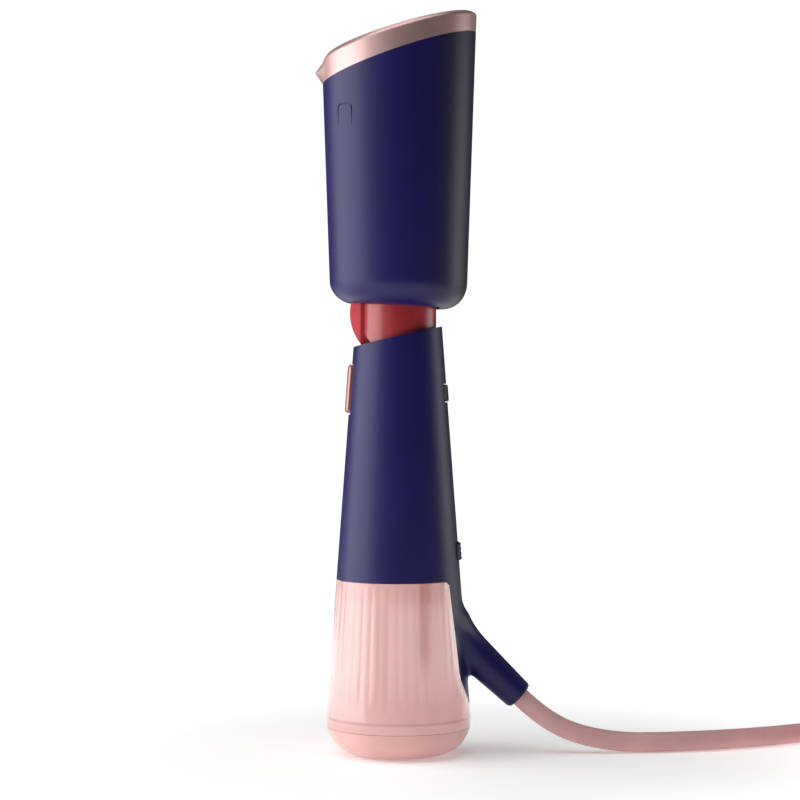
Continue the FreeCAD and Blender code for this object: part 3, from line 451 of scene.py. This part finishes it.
# moves the vertices between two levels onto the smooth field's surface
def settle(mesh, low, high):
    points = np.empty(len(mesh.vertices) * 3)
    mesh.vertices.foreach_get("co", points)
    points = points.reshape(-1, 3)
    free = (points[:, 2] > low) & (points[:, 2] < high)
    tiny = 1e-5
    for i in range(6):
        some = points[free]
        value = smoothField(some)
        slopes = [smoothField(some + shift) - smoothField(some - shift) for shift in tiny * np.eye(3)]
        slopes = np.stack(slopes, axis=1) / (2 * tiny)
        points[free] = some - slopes * (value / np.maximum((slopes ** 2).sum(axis=1), 0.2))[:, None]
    mesh.vertices.foreach_set("co", points.ravel())
    mesh.update()


# side-view points between spine and tank, moved forwards by inset
def spineLine(inset, corner=True):
    points = grip["spine"] + (grip["spineCorner"] if corner else [(0.0221, grip["tankTop"])])
    return [(x - inset, z) for x, z in points]


def makeGrip():
    low = 0.004
    high = 0.206
    sleeveWay = Vector((-math.cos(grip["exitDip"]), 0, math.sin(grip["exitDip"])))
    start = Vector(grip["exit"])
    far = grip["sleeveRadius"] + grip["sleeveTaper"] * grip["sleeveReach"]
    core = lathe(divided([(0, low), (gripRadius(low), low), (gripRadius(high), high), (0, high)], 0.004), 96)
    sleeve = roundBar(start, start + sleeveWay * grip["sleeveReach"], grip["sleeveRadius"], 64, far)
    skin = rawObject("grip", core)
    added = rawObject("sleeve", sleeve)
    union = skin.modifiers.new("sleeve", "BOOLEAN")
    union.operation = "UNION"
    union.object = added
    baked(skin)
    bpy.data.objects.remove(added)
    even = skin.modifiers.new("even", "REMESH")
    even.mode = "VOXEL"
    even.voxel_size = 0.0007
    baked(skin)
    settle(skin.data, low + 0.003, high - 0.003)
    top = grip["tankTop"]
    tip = grip["spine"][0][1]
    room = [(-0.06, -0.01), (0.07, -0.01), (0.07, 0.0190), (0.0335, tip)] + spineLine(0) + [(-0.06, top)]
    mouthLeft = grip["mouth"] - 0.06 * grip["mouthSlope"]
    mouthRight = grip["mouth"] + 0.06 * grip["mouthSlope"]
    above = [(-0.06, mouthLeft), (0.06, mouthRight), (0.06, 0.25), (-0.06, 0.25)]
    wall = grip["wall"]
    inner = [
        (0, top - 0.001),
        (gripRadius(top) - wall, top - 0.001),
        (gripRadius(0.22) - wall, 0.22),
        (0, 0.22),
    ]
    leadHole = roundBar(start - sleeveWay * 0.01, start + sleeveWay * 0.030, 0.0052)
    carve(skin, prism(room, 0.06), prism(above, 0.06), lathe(inner, 96), leadHole)
    windows = [controls[name] for name in ("trigger", "power", "release")]
    for item in windows:
        side = item["side"]
        slack = 0.0003
        near = 0.004 * side
        ends = sorted((near, 0.06 * side))
        below = item["low"] - item.get("swing", slack)
        corners = ((ends[0], -item["half"] - slack, below), (ends[1], item["half"] + slack, item["high"] + slack))
        carve(skin, cuboid(*corners, 0.0016, 0))
    return finished(skin, "handle", "shell", ["handle_shell"], 30)


controls = {
    "trigger": {"side": -1, "low": 0.1497, "high": 0.1707, "half": 0.0057,
                "proud": 0.0018, "deep": 0.0038, "swing": 0.0009, "ribs": 0, "body": "trigger", "slot": "trigger", "node": "steam_trigger"},
    "power": {"side": 1, "low": 0.1546, "high": 0.1621, "half": 0.008, "proud": 0.00065, "deep": 0.004,
              "ribs": 0, "body": "power", "slot": "navy_button", "node": "power_button"},
    "release": {"side": 1, "low": 0.0853, "high": 0.0928, "half": 0.0075, "proud": 0.0013, "deep": 0.0042,
                "ribs": 3, "body": "release", "slot": "navy_button", "node": "release_button"},
}


# a pad that follows the grip, with a soft rim and shallow ribs where a finger sits
def makeControl(name, item):
    side = item["side"]
    bm = cuboid((0, -item["half"], item["low"]), (1, item["half"], item["high"]), 0.0014, 0)
    cuts = [((0, item["half"] * (i / 6 - 1), 0), (0, 1, 0)) for i in range(1, 12)]
    tallness = item["high"] - item["low"]
    cuts += [((0, 0, item["low"] + tallness * i / 40), (0, 0, 1)) for i in range(1, 40)]
    for where, facing in cuts:
        everything = bm.verts[:] + bm.edges[:] + bm.faces[:]
        bmesh.ops.bisect_plane(bm, geom=everything, plane_co=where, plane_no=facing)
    middle = (item["low"] + item["high"]) / 2
    tall = (item["high"] - item["low"]) / 2
    for vert in bm.verts:
        x, y, z = vert.co
        outer = x > 0.5
        span = (z - middle) / tall
        rim = max(abs(span), abs(y) / item["half"])
        lift = item["proud"] if outer else -item["deep"]
        if outer:
            lift -= 0.0007 * max(0, (rim - 0.86) / 0.14) ** 2
            if item["ribs"] and rim < 0.8:
                lift -= 0.00022 * (0.5 + 0.5 * math.cos(span / 0.8 * math.pi * item["ribs"]))
        radius = gripRadius(z) + lift
        vert.co.x = side * math.sqrt(max(radius ** 2 - y ** 2, 0))
    bmesh.ops.recalc_face_normals(bm, faces=bm.faces)
    obj = rawObject(name, bm)
    if name == "trigger":
        ear = cuboid((-0.0200, -0.0057, 0.1665), (-0.0128, 0.0057, 0.1702), 0.001, 1)
        added = rawObject("ear", ear)
        union = obj.modifiers.new("ear", "BOOLEAN")
        union.operation = "UNION"
        union.object = added
        baked(obj)
        bpy.data.objects.remove(added)
        carve(obj, roundBar((-0.0158, -0.01, 0.1687), (-0.0158, 0.01, 0.1687), 0.00125, 24))
    return finished(obj, item["body"], item["slot"], [item["node"]], 40)


makeGrip()
for name, item in controls.items():
    makeControl(name, item)
print("grip done")


# head: the cup leans between the two sloping planes at its ends

# turns a straight form, with heights from 0 to depth, into one that fits between two slopes
def leanHead(bm, lowLine, highLine, depth, radiusAt=headRadius):
    for vert in bm.verts:
        x, y, z = vert.co
        share = z / depth
        turn = math.atan2(y, x)
        plain = math.hypot(x, y)
        radius = plain
        for i in range(4):
            level = lowLine(radius * math.cos(turn)) * (1 - share) + highLine(radius * math.cos(turn)) * share
            straight = radiusAt(lowLine(0) + z)
            radius = plain / straight * radiusAt(level)
        vert.co = (radius * math.cos(turn), radius * math.sin(turn), level)


cup = {
    "markTurn": math.radians(225),
    "mark": (0.0092, 0.0112, 0.0007),
    "markLevel": 0.2772,
    "markDeep": 0.0002,
    "opening": (0.0179, 0.0172),
    "shieldSlot": (-0.0221, 0.0080),
}


def makeHead():
    length = head["length"]
    corner = head["corner"]
    foot = head["foot"]
    side = headRadius(foot + corner)
    bend = arcPoints((side - corner, corner), corner, -90, 0, 12)
    outline = [(0, 0)] + bend + [(headRadius(foot + length), length), (0, length)]
    bm = lathe(divided(outline, 0.004), 160)
    leanHead(bm, headFoot, seamHeight, length)
    shell = rawObject("headShell", bm)
    wall = head["wall"]
    floor = 0.0037
    room = [
        (0, floor),
        (headRadius(foot) - wall - 0.0085, floor),
        (headRadius(foot + 0.0125) - wall, 0.0125),
        (headRadius(foot + length) - wall, length + 0.03),
        (0, length + 0.03),
    ]
    hollow = lathe(room, 96)
    bmesh.ops.translate(hollow, verts=hollow.verts, vec=(0, 0, foot))
    wide, deep = cup["opening"]
    corners = [(-1, -0.7), (-0.5, -1), (0.5, -1), (1, -0.7), (1, 0.7), (0.5, 1), (-0.5, 1), (-1, 0.7)]
    opening = prism([(x * wide, y * deep) for x, y in corners], 0.011)
    upright = Matrix.Translation((0, 0, foot - 0.005)) @ Matrix.Rotation(math.pi / 2, 4, "X")
    bmesh.ops.transform(opening, verts=opening.verts, matrix=upright)
    reach, half = cup["shieldSlot"]
    notch = cuboid((reach, -half, 0.18), (-0.01, half, foot + 0.0105))
    carve(shell, hollow, opening, notch)
    tall, across, line = cup["mark"]
    radius = headRadius(cup["markLevel"])
    outer = cuboid((-0.01, -tall / 2, -across / 2), (0.0, tall / 2, across / 2), 0.0022, 0)
    innerTall = tall / 2 - line
    innerAcross = across / 2 - line
    core = cuboid((-0.02, -innerTall, -innerAcross), (0.01, innerTall, innerAcross), 0.0016, 0)
    frameTool = carve(rawObject("mark", outer), core)
    frameMesh = bmesh.new()
    frameMesh.from_mesh(frameTool.data)
    bpy.data.objects.remove(frameTool)
    for vert in frameMesh.verts:
        depth = radius - cup["markDeep"] if vert.co.x < -0.005 else radius + 0.002
        turn = cup["markTurn"] + vert.co.y / radius
        vert.co = (depth * math.cos(turn), depth * math.sin(turn), cup["markLevel"] + vert.co.z)
    carve(shell, frameMesh)
    return finished(shell, "head", "shell", ["head_shell"], 30)


ring = {
    "beak": 0.0033,
    "beakHalf": math.radians(24.5),
    "shoulder": 0.0022,
    "shoulderStart": 0.80,
    "tipShare": 0.5,
}


# how far the ring's beak stands out at an angle from the front
def beakReach(turn, radius):
    turn = abs(turn)
    if turn >= ring["beakHalf"]:
        return 0.0
    tip = radius + ring["beak"]
    straight = tip * 0.41 * radius / (0.41 * radius * math.cos(turn) + (tip - 0.9 * radius) * math.sin(turn))
    return max(straight - radius, 0.0)


# the ring's outer radius at an angle from the front and a share of its height
def ringRadius(turn, share, radius):
    stand = beakReach(turn, radius)
    weight = stand / ring["beak"]
    tip = ring["tipShare"]
    start = ring["shoulderStart"]
    if share <= tip:
        return radius + stand * share / tip
    shoulder = ring["shoulder"] * (max(share - start, 0) / (1 - start)) ** 1.6
    plain = radius + stand * max(0, 1 - (share - tip) / (start - tip)) - shoulder
    drooped = radius + stand - (stand + 0.0026) * (share - tip) / (1 - tip)
    return plain * (1 - weight) + drooped * weight


def makeRing():
    rows = 22
    steps = 240
    wall = head["wall"]
    bm = bmesh.new()
    loops = []
    for step in range(steps):
        turn = math.tau * step / steps
        away = math.remainder(turn - math.pi, math.tau)
        column = []
        for row in range(rows + 1):
            share = row / rows
            radius = headRadius(head["foot"] + head["length"])
            for i in range(4):
                x = radius * math.cos(turn)
                level = seamHeight(x) * (1 - share) + faceHeight(x) * share
                radius = ringRadius(away, share, headRadius(level))
            column.append(bm.verts.new((radius * math.cos(turn), radius * math.sin(turn), level)))
        for share in (1, 0):
            radius = headRadius(level) - wall
            for i in range(4):
                x = radius * math.cos(turn)
                level = seamHeight(x) * (1 - share) + faceHeight(x) * share
                radius = headRadius(level) - wall
            column.append(bm.verts.new((radius * math.cos(turn), radius * math.sin(turn), level)))
        loops.append(column)
    for column, after in zip(loops, loops[1:] + loops[:1]):
        count = len(column)
        for i in range(count):
            j = (i + 1) % count
            bm.faces.new((column[i], after[i], after[j], column[j]))
    bmesh.ops.recalc_face_normals(bm, faces=bm.faces)
    return finished(rawObject("plateRing", bm), "head", "ring", ["plate_ring"], 38)


plate = {
    "radius": 0.0313,
    "thick": 0.003,
    "dome": 0.0017,
    "hole": 0.0013,
    "circles": [(0.66, 0.0, 12), (0.33, 0.12, 6)],
    "groove": (0.0262, 0.0011, 0.0005),
}


# moves a form from the origin into the sloping face of the head
def onFace(bm):
    middle = head["foot"] + head["length"] + head["ringHeight"]
    turn = Matrix.Rotation(-math.atan(head["faceSlope"]), 4, "Y")
    bmesh.ops.transform(bm, verts=bm.verts, matrix=Matrix.Translation((0, 0, middle)) @ turn)
    return bm


def makePlate():
    radius = plate["radius"]
    centre, half, deep = plate["groove"]
    outline = [(0, -plate["thick"]), (radius, -plate["thick"]), (radius, -0.0008)]
    for i in range(40, -1, -1):
        r = (radius - 0.0006) * i / 40
        dome = plate["dome"] * (1 - (r / radius) ** 2) - 0.0002
        dip = deep * max(0, 1 - ((r - centre) / half) ** 2)
        outline.append((r, dome - dip))
    sole = rawObject("solePlate", onFace(lathe(outline, 128)))
    for share, start, count in plate["circles"]:
        for i in range(count):
            turn = math.tau * i / count + (start / share if start else 0)
            x = radius * share * math.cos(turn)
            y = radius * share * math.sin(turn)
            hole = roundBar((x, y, -0.01), (x, y, 0.01), plate["hole"], 20)
            level = plate["dome"] * (1 - share ** 2) - 0.0002
            flare = roundBar((x, y, level - 0.0006), (x, y, level + 0.0006), plate["hole"] * 0.9, 20, plate["hole"] * 2)
            carve(sole, onFace(hole), onFace(flare))
    return finished(sole, "head", "plate", ["soleplate"], 30)


makeHead()
makeRing()
makePlate()
print("head done")


# tank: a fluted clear vessel over a plain foot

tank = {
    "top": 0.0765,
    "capTop": 0.0123,
    "corner": 0.015,
    "flutes": 44,
    "fluteDeep": 0.00032,
    "fluteLow": 0.0225,
    "fluteFull": 0.029,
    "wall": 0.0020,
    "floor": 0.0150,
    "pocketCorner": 0.006,
}


# the tank's outer profile from its flat foot up, moved in by inset
def footOutline(inset, top, low=0.0):
    corner = tank["corner"] - inset
    slope = math.atan(grip["slope"])
    across = gripRadius(0) - inset / math.cos(slope)
    level = low + inset
    centre = (across - grip["slope"] * (level + corner) - corner / math.cos(slope), level + corner)
    bend = arcPoints(centre, corner, -90, math.degrees(slope), 14)
    side = [(gripRadius(top) - inset / math.cos(slope), top)]
    return [(0, level)] + bend + side


# the part of a turned outline between two levels, closed on the axis
def between(outline, low, high):
    radii = [r for r, z in outline[1:]]
    levels = [z for r, z in outline[1:]]
    kept = [point for point in outline[1:] if low < point[1] < high]
    ends = [(float(np.interp(level, levels, radii)), level) for level in (low, high)]
    return [(0, low), ends[0], *kept, ends[1], (0, high)]


# shallow upright flutes that fade out above the foot
def flute(bm):
    for vert in bm.verts:
        x, y, z = vert.co
        radius = math.hypot(x, y)
        if radius < gripRadius(z) - 0.0008:
            continue
        share = min(max((z - tank["fluteLow"]) / (tank["fluteFull"] - tank["fluteLow"]), 0), 1)
        rim = min(max((tank["top"] - 0.0018 - z) / 0.001, 0), 1)
        ridge = abs(math.sin(math.atan2(y, x) * tank["flutes"] / 2))
        scale = 1 - tank["fluteDeep"] * share * rim * (1 - ridge) / radius
        vert.co.x *= scale
        vert.co.y *= scale


# the side-view area behind the tank, which the spine takes up
def behind(inset):
    line = spineLine(inset)
    low = grip["spine"][0][1] - inset
    rear = [(line[-1][0], 0.09), (0.08, 0.09), (0.08, low)]
    return prism([(line[0][0], low), *line, *rear], 0.05)


def makeVessel():
    outer = footOutline(0, tank["top"])
    skin = lathe(divided(between(outer, tank["capTop"] + 0.0001, tank["top"]), 0.0022), tank["flutes"] * 8)
    flute(skin)
    vessel = rawObject("tankVessel", skin)
    inner = footOutline(tank["wall"], tank["top"] + 0.002)
    inside = rawObject("tankInside", lathe(divided(between(inner, tank["floor"], tank["top"] + 0.001), 0.004), 128))
    carve(inside, behind(gap + tank["wall"]))
    hollow = bmesh.new()
    hollow.from_mesh(inside.data)
    bpy.data.objects.remove(inside)
    carve(vessel, behind(gap), hollow)
    return finished(vessel, "tank", "clear_pink", ["tank_vessel"], 40)


def makeFoot():
    outer = footOutline(0, tank["capTop"] + 0.001)
    inner = footOutline(0.0026, tank["capTop"] + 0.003)
    foot = rawObject("tankFoot", lathe(divided(between(outer, 0.0, tank["capTop"] - 0.0001), 0.002), 160))
    hollow = lathe(between(inner, 0.0026, tank["capTop"] + 0.002), 128)
    padSeat = roundBar((0, 0, -0.01), (0, 0, 0.0008), 0.01302, 96)
    carve(foot, hollow, padSeat)
    return finished(foot, "tank", "pink", ["tank_base"], 40)


makeVessel()
makeFoot()
print("tank done")


# mains lead: down from the sleeve, along the floor, round a coil and back over it to the plug

lead = {
    "radius": 0.0043,
    "exit": (0.0533, 0, 0.0250),
    "route": [
        (0.0533, 0, 0.0250), (0.0613, 0, 0.0173), (0.076, 0, 0.0088), (0.097, 0.0006, 0.0046),
        (0.119, 0.0025, 0.0046), (0.141, 0.008, 0.0046), (0.163, 0.017, 0.0046), (0.184, 0.028, 0.0048),
    ],
    "centre": (0.239, 0.0),
    "columns": (0.0483, 0.0397),
    "layers": (0.0052, 0.0138, 0.0224, 0.0310),
    "tail": 0.0396,
    "tailCentre": (0.247, 0.0055),
    "tailRadius": 0.040,
    "plugLevel": 0.0440,
}

tie = {
    "reach": 0.044,
    "half": 0.0090,
    "tall": 0.0360,
    "middle": 0.0181,
    "wide": 0.006,
    "thick": 0.0005,
}


# out and in through two columns of turns, one layer after another
def coilPoints():
    outer, inner = lead["columns"]
    cx, cy = lead["centre"]
    turns = []
    for i, level in enumerate(lead["layers"]):
        pair = (outer, inner) if i % 2 == 0 else (inner, outer)
        turns += [(radius, level) for radius in pair]
    points = []
    steps = 16
    start = math.radians(112)
    for i in range(len(turns) * steps):
        turn, step = divmod(i, steps)
        radius, level = turns[turn]
        after = turns[min(turn + 1, len(turns) - 1)]
        share = min(max((step - steps + 5) / 5, 0), 1)
        share = share * share * (3 - 2 * share)
        angle = start - math.tau * i / steps
        r = radius + (after[0] - radius) * share
        z = level + (after[1] - level) * share
        points.append((cx + r * math.cos(angle), cy + r * math.sin(angle), z))
    return points


def makeLead():
    points = list(lead["route"])
    coil = coilPoints()
    points += [(0.2025, 0.0375, 0.0052)]
    points += coil
    last = lead["tail"]
    cx, cy = lead["tailCentre"]
    for i in range(1, 9):
        angle = math.radians(90 - 22.5 * i)
        level = last + (lead["plugLevel"] - last) * i / 8
        reach = lead["tailRadius"]
        points.append((cx + reach * math.cos(angle), cy + reach * math.sin(angle), level))
    points += [(0.240, -0.0345, 0.0440), (0.232, -0.0345, 0.0440)]
    curve = bpy.data.curves.new("mains lead", "CURVE")
    curve.dimensions = "3D"
    curve.bevel_depth = lead["radius"]
    curve.bevel_resolution = 5
    curve.use_fill_caps = True
    curve.resolution_u = 6
    spline = curve.splines.new("NURBS")
    spline.points.add(len(points) - 1)
    for point, where in zip(spline.points, points):
        point.co = (*where, 1)
    spline.order_u = 3
    spline.use_endpoint_u = True
    obj = bpy.data.objects.new("mainsLead", curve)
    bpy.context.scene.collection.objects.link(obj)
    curve.materials.append(finishes["lead"])
    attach(obj, "handle")
    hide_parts("power_cord", "cord_coil", "cord_tail")
    length = sum(math.dist(a, b) for a, b in zip(points, points[1:]))
    print("lead length about", round(length, 3))
    return obj, length


# a moulded two-pin plug with a ribbed neck
def makePlug():
    level = lead["plugLevel"]
    y = -0.0345
    bm = bmesh.new()
    side = [(0.223, 0.0062), (0.2145, 0.0142), (0.2022, 0.0158)]
    outline = side + [(x, -across) for x, across in reversed(side)]
    face = bm.faces.new([bm.verts.new((x, y + dy, level - 0.0080)) for x, dy in outline])
    grown = bmesh.ops.extrude_face_region(bm, geom=[face])["geom"]
    raised = [item for item in grown if isinstance(item, bmesh.types.BMVert)]
    bmesh.ops.translate(bm, verts=raised, vec=(0, 0, 0.0160))
    bmesh.ops.recalc_face_normals(bm, faces=bm.faces)
    bmesh.ops.bevel(bm, geom=bm.edges[:], offset=0.0022, segments=4, profile=0.5, affect="EDGES")
    plug = rawObject("plugBody", bm)
    ribs = []
    for i in range(56):
        along = i / 55
        wave = 0.0005 * (0.5 + 0.5 * math.cos(along * math.tau * 4))
        ribs.append((0.0052 + 0.0014 * (1 - along) - wave, along * 0.0125))
    neck = lathe([(0, 0)] + ribs + [(0.0044, 0.0130), (0, 0.0130)], 48)
    turn = Matrix.Rotation(math.pi / 2, 4, "Y")
    bmesh.ops.transform(neck, verts=neck.verts, matrix=Matrix.Translation((0.2224, y, level)) @ turn)
    added = rawObject("neck", neck)
    union = plug.modifiers.new("neck", "BOOLEAN")
    union.operation = "UNION"
    union.object = added
    baked(plug)
    bpy.data.objects.remove(added)
    for i in range(3):
        along = 0.2055 + i * 0.0028
        carve(plug, cuboid((along, y - 0.02, level + 0.0074), (along + 0.0012, y + 0.02, level + 0.012)))
    finished(plug, "handle", "lead", ["plug_body"], 40)
    pin = lathe([(0, 0), (0.0017, 0), (0.0024, 0.0011), (0.0024, 0.0188), (0, 0.0188)], 32)
    bmesh.ops.transform(pin, verts=pin.verts, matrix=Matrix.Translation((0.1833, 0, 0)) @ turn)
    second = bmesh.ops.duplicate(pin, geom=pin.verts[:] + pin.edges[:] + pin.faces[:])["geom"]
    moved = [item for item in second if isinstance(item, bmesh.types.BMVert)]
    bmesh.ops.translate(pin, verts=pin.verts, vec=(0, y - 0.0095, level))
    bmesh.ops.translate(pin, verts=moved, vec=(0, 0.019, 0))
    pins = finished(rawObject("plugPins", pin), "handle", "brass", ["plug_pins"], 40)
    return plug, pins


# a rounded box about the coil's section, before it is bent round the coil
def tieForm(inset, thick):
    half, tall, middle = tie["half"] - inset, tie["tall"] / 2 - inset, tie["middle"]
    corners = [(-1, -1), (1, -1), (1, 1), (-1, 1)]
    bm = prism([(sx * half - tie["reach"], middle + sz * tall) for sx, sz in corners], thick)
    along = [e for e in bm.edges if abs((e.verts[0].co - e.verts[1].co).y) > thick]
    bmesh.ops.bevel(bm, geom=along, offset=0.0042 - inset, segments=6, profile=0.5, affect="EDGES")
    return bm


# a soft band round the coil's section
def makeTie():
    band = carve(rawObject("leadTie", tieForm(0, tie["wide"])), tieForm(tie["thick"], 0.02))
    for vert in band.data.vertices:
        x, y, z = vert.co
        turn = math.pi - y / tie["reach"]
        vert.co = (lead["centre"][0] - x * math.cos(turn), -x * math.sin(turn), z)
    return finished(band, "handle", "pad", ["cord_tie"], 40)


leadObject, leadLength = makeLead()
plugObject, pinsObject = makePlug()
tieObject = makeTie()
print("lead done")


# studio

def light(name, where, size, power, aim, colour=(1, 1, 1)):
    data = bpy.data.lights.new(name, "AREA")
    data.shape = "RECTANGLE"
    data.size, data.size_y = size
    data.energy = power
    data.color = colour
    obj = bpy.data.objects.new(name, data)
    obj.location = where
    obj.rotation_euler = (Vector(aim) - Vector(where)).to_track_quat("-Z", "Y").to_euler()
    bpy.context.scene.collection.objects.link(obj)
    return obj


def makeStudio():
    bm = bmesh.new()
    bmesh.ops.create_grid(bm, x_segments=1, y_segments=1, size=0.6)
    floor = rawObject("floor", bm)
    mat, place, shader = newMaterial("pale floor", Roughness=0.6, Emission_Strength=0.8)
    away = Flow(place.tree, place.node("ShaderNodeVectorMath", {0: place}, operation="LENGTH").outputs["Value"])
    feed(shader, "Base Color", away.step(0.1, 0.5).mix((0.94, 0.94, 0.94), (0.97, 0.97, 0.97)))
    feed(shader, "Emission Color", away.step(0.07, 0.36).mix((0.30, 0.30, 0.30), (1, 1, 1)))
    floor.data.materials.append(mat)
    world = bpy.data.worlds.new("studio")
    world.use_nodes = True
    bpy.context.scene.world = world
    tree = world.node_tree
    back = tree.nodes["Background"]
    back.inputs["Color"].default_value = (1, 1, 1, 1)
    seen = tree.nodes.new("ShaderNodeLightPath").outputs["Is Camera Ray"]
    strength = Flow(tree, seen) * 0.98 + 0.06
    tree.links.new(strength.out, back.inputs["Strength"])
    light("left", (-1.0, -0.08, 0.30), (1.25, 0.9), 12.5, (0, 0, 0.17))
    light("right", (0.95, 0.36, 0.20), (0.5, 0.5), 1.7, (0, 0, 0.20))
    light("above", (-0.25, -0.25, 1.3), (1.4, 1.4), 12, (0, 0, 0))
    light("front", (-0.9, -1.3, 0.5), (0.7, 0.7), 0.9, (0, 0, 0.15))
    lens = bpy.data.cameras.new("camera")
    lens.sensor_width = 36
    lens.lens = 97.2
    camera = bpy.data.objects.new("camera", lens)
    camera.location = (0.00066, -0.95, 0.1553)
    camera.rotation_euler = (math.pi / 2, 0, 0)
    bpy.context.scene.collection.objects.link(camera)
    bpy.context.scene.camera = camera
    bpy.context.scene.view_settings.view_transform = "Standard"


makeStudio()
print("studio done")
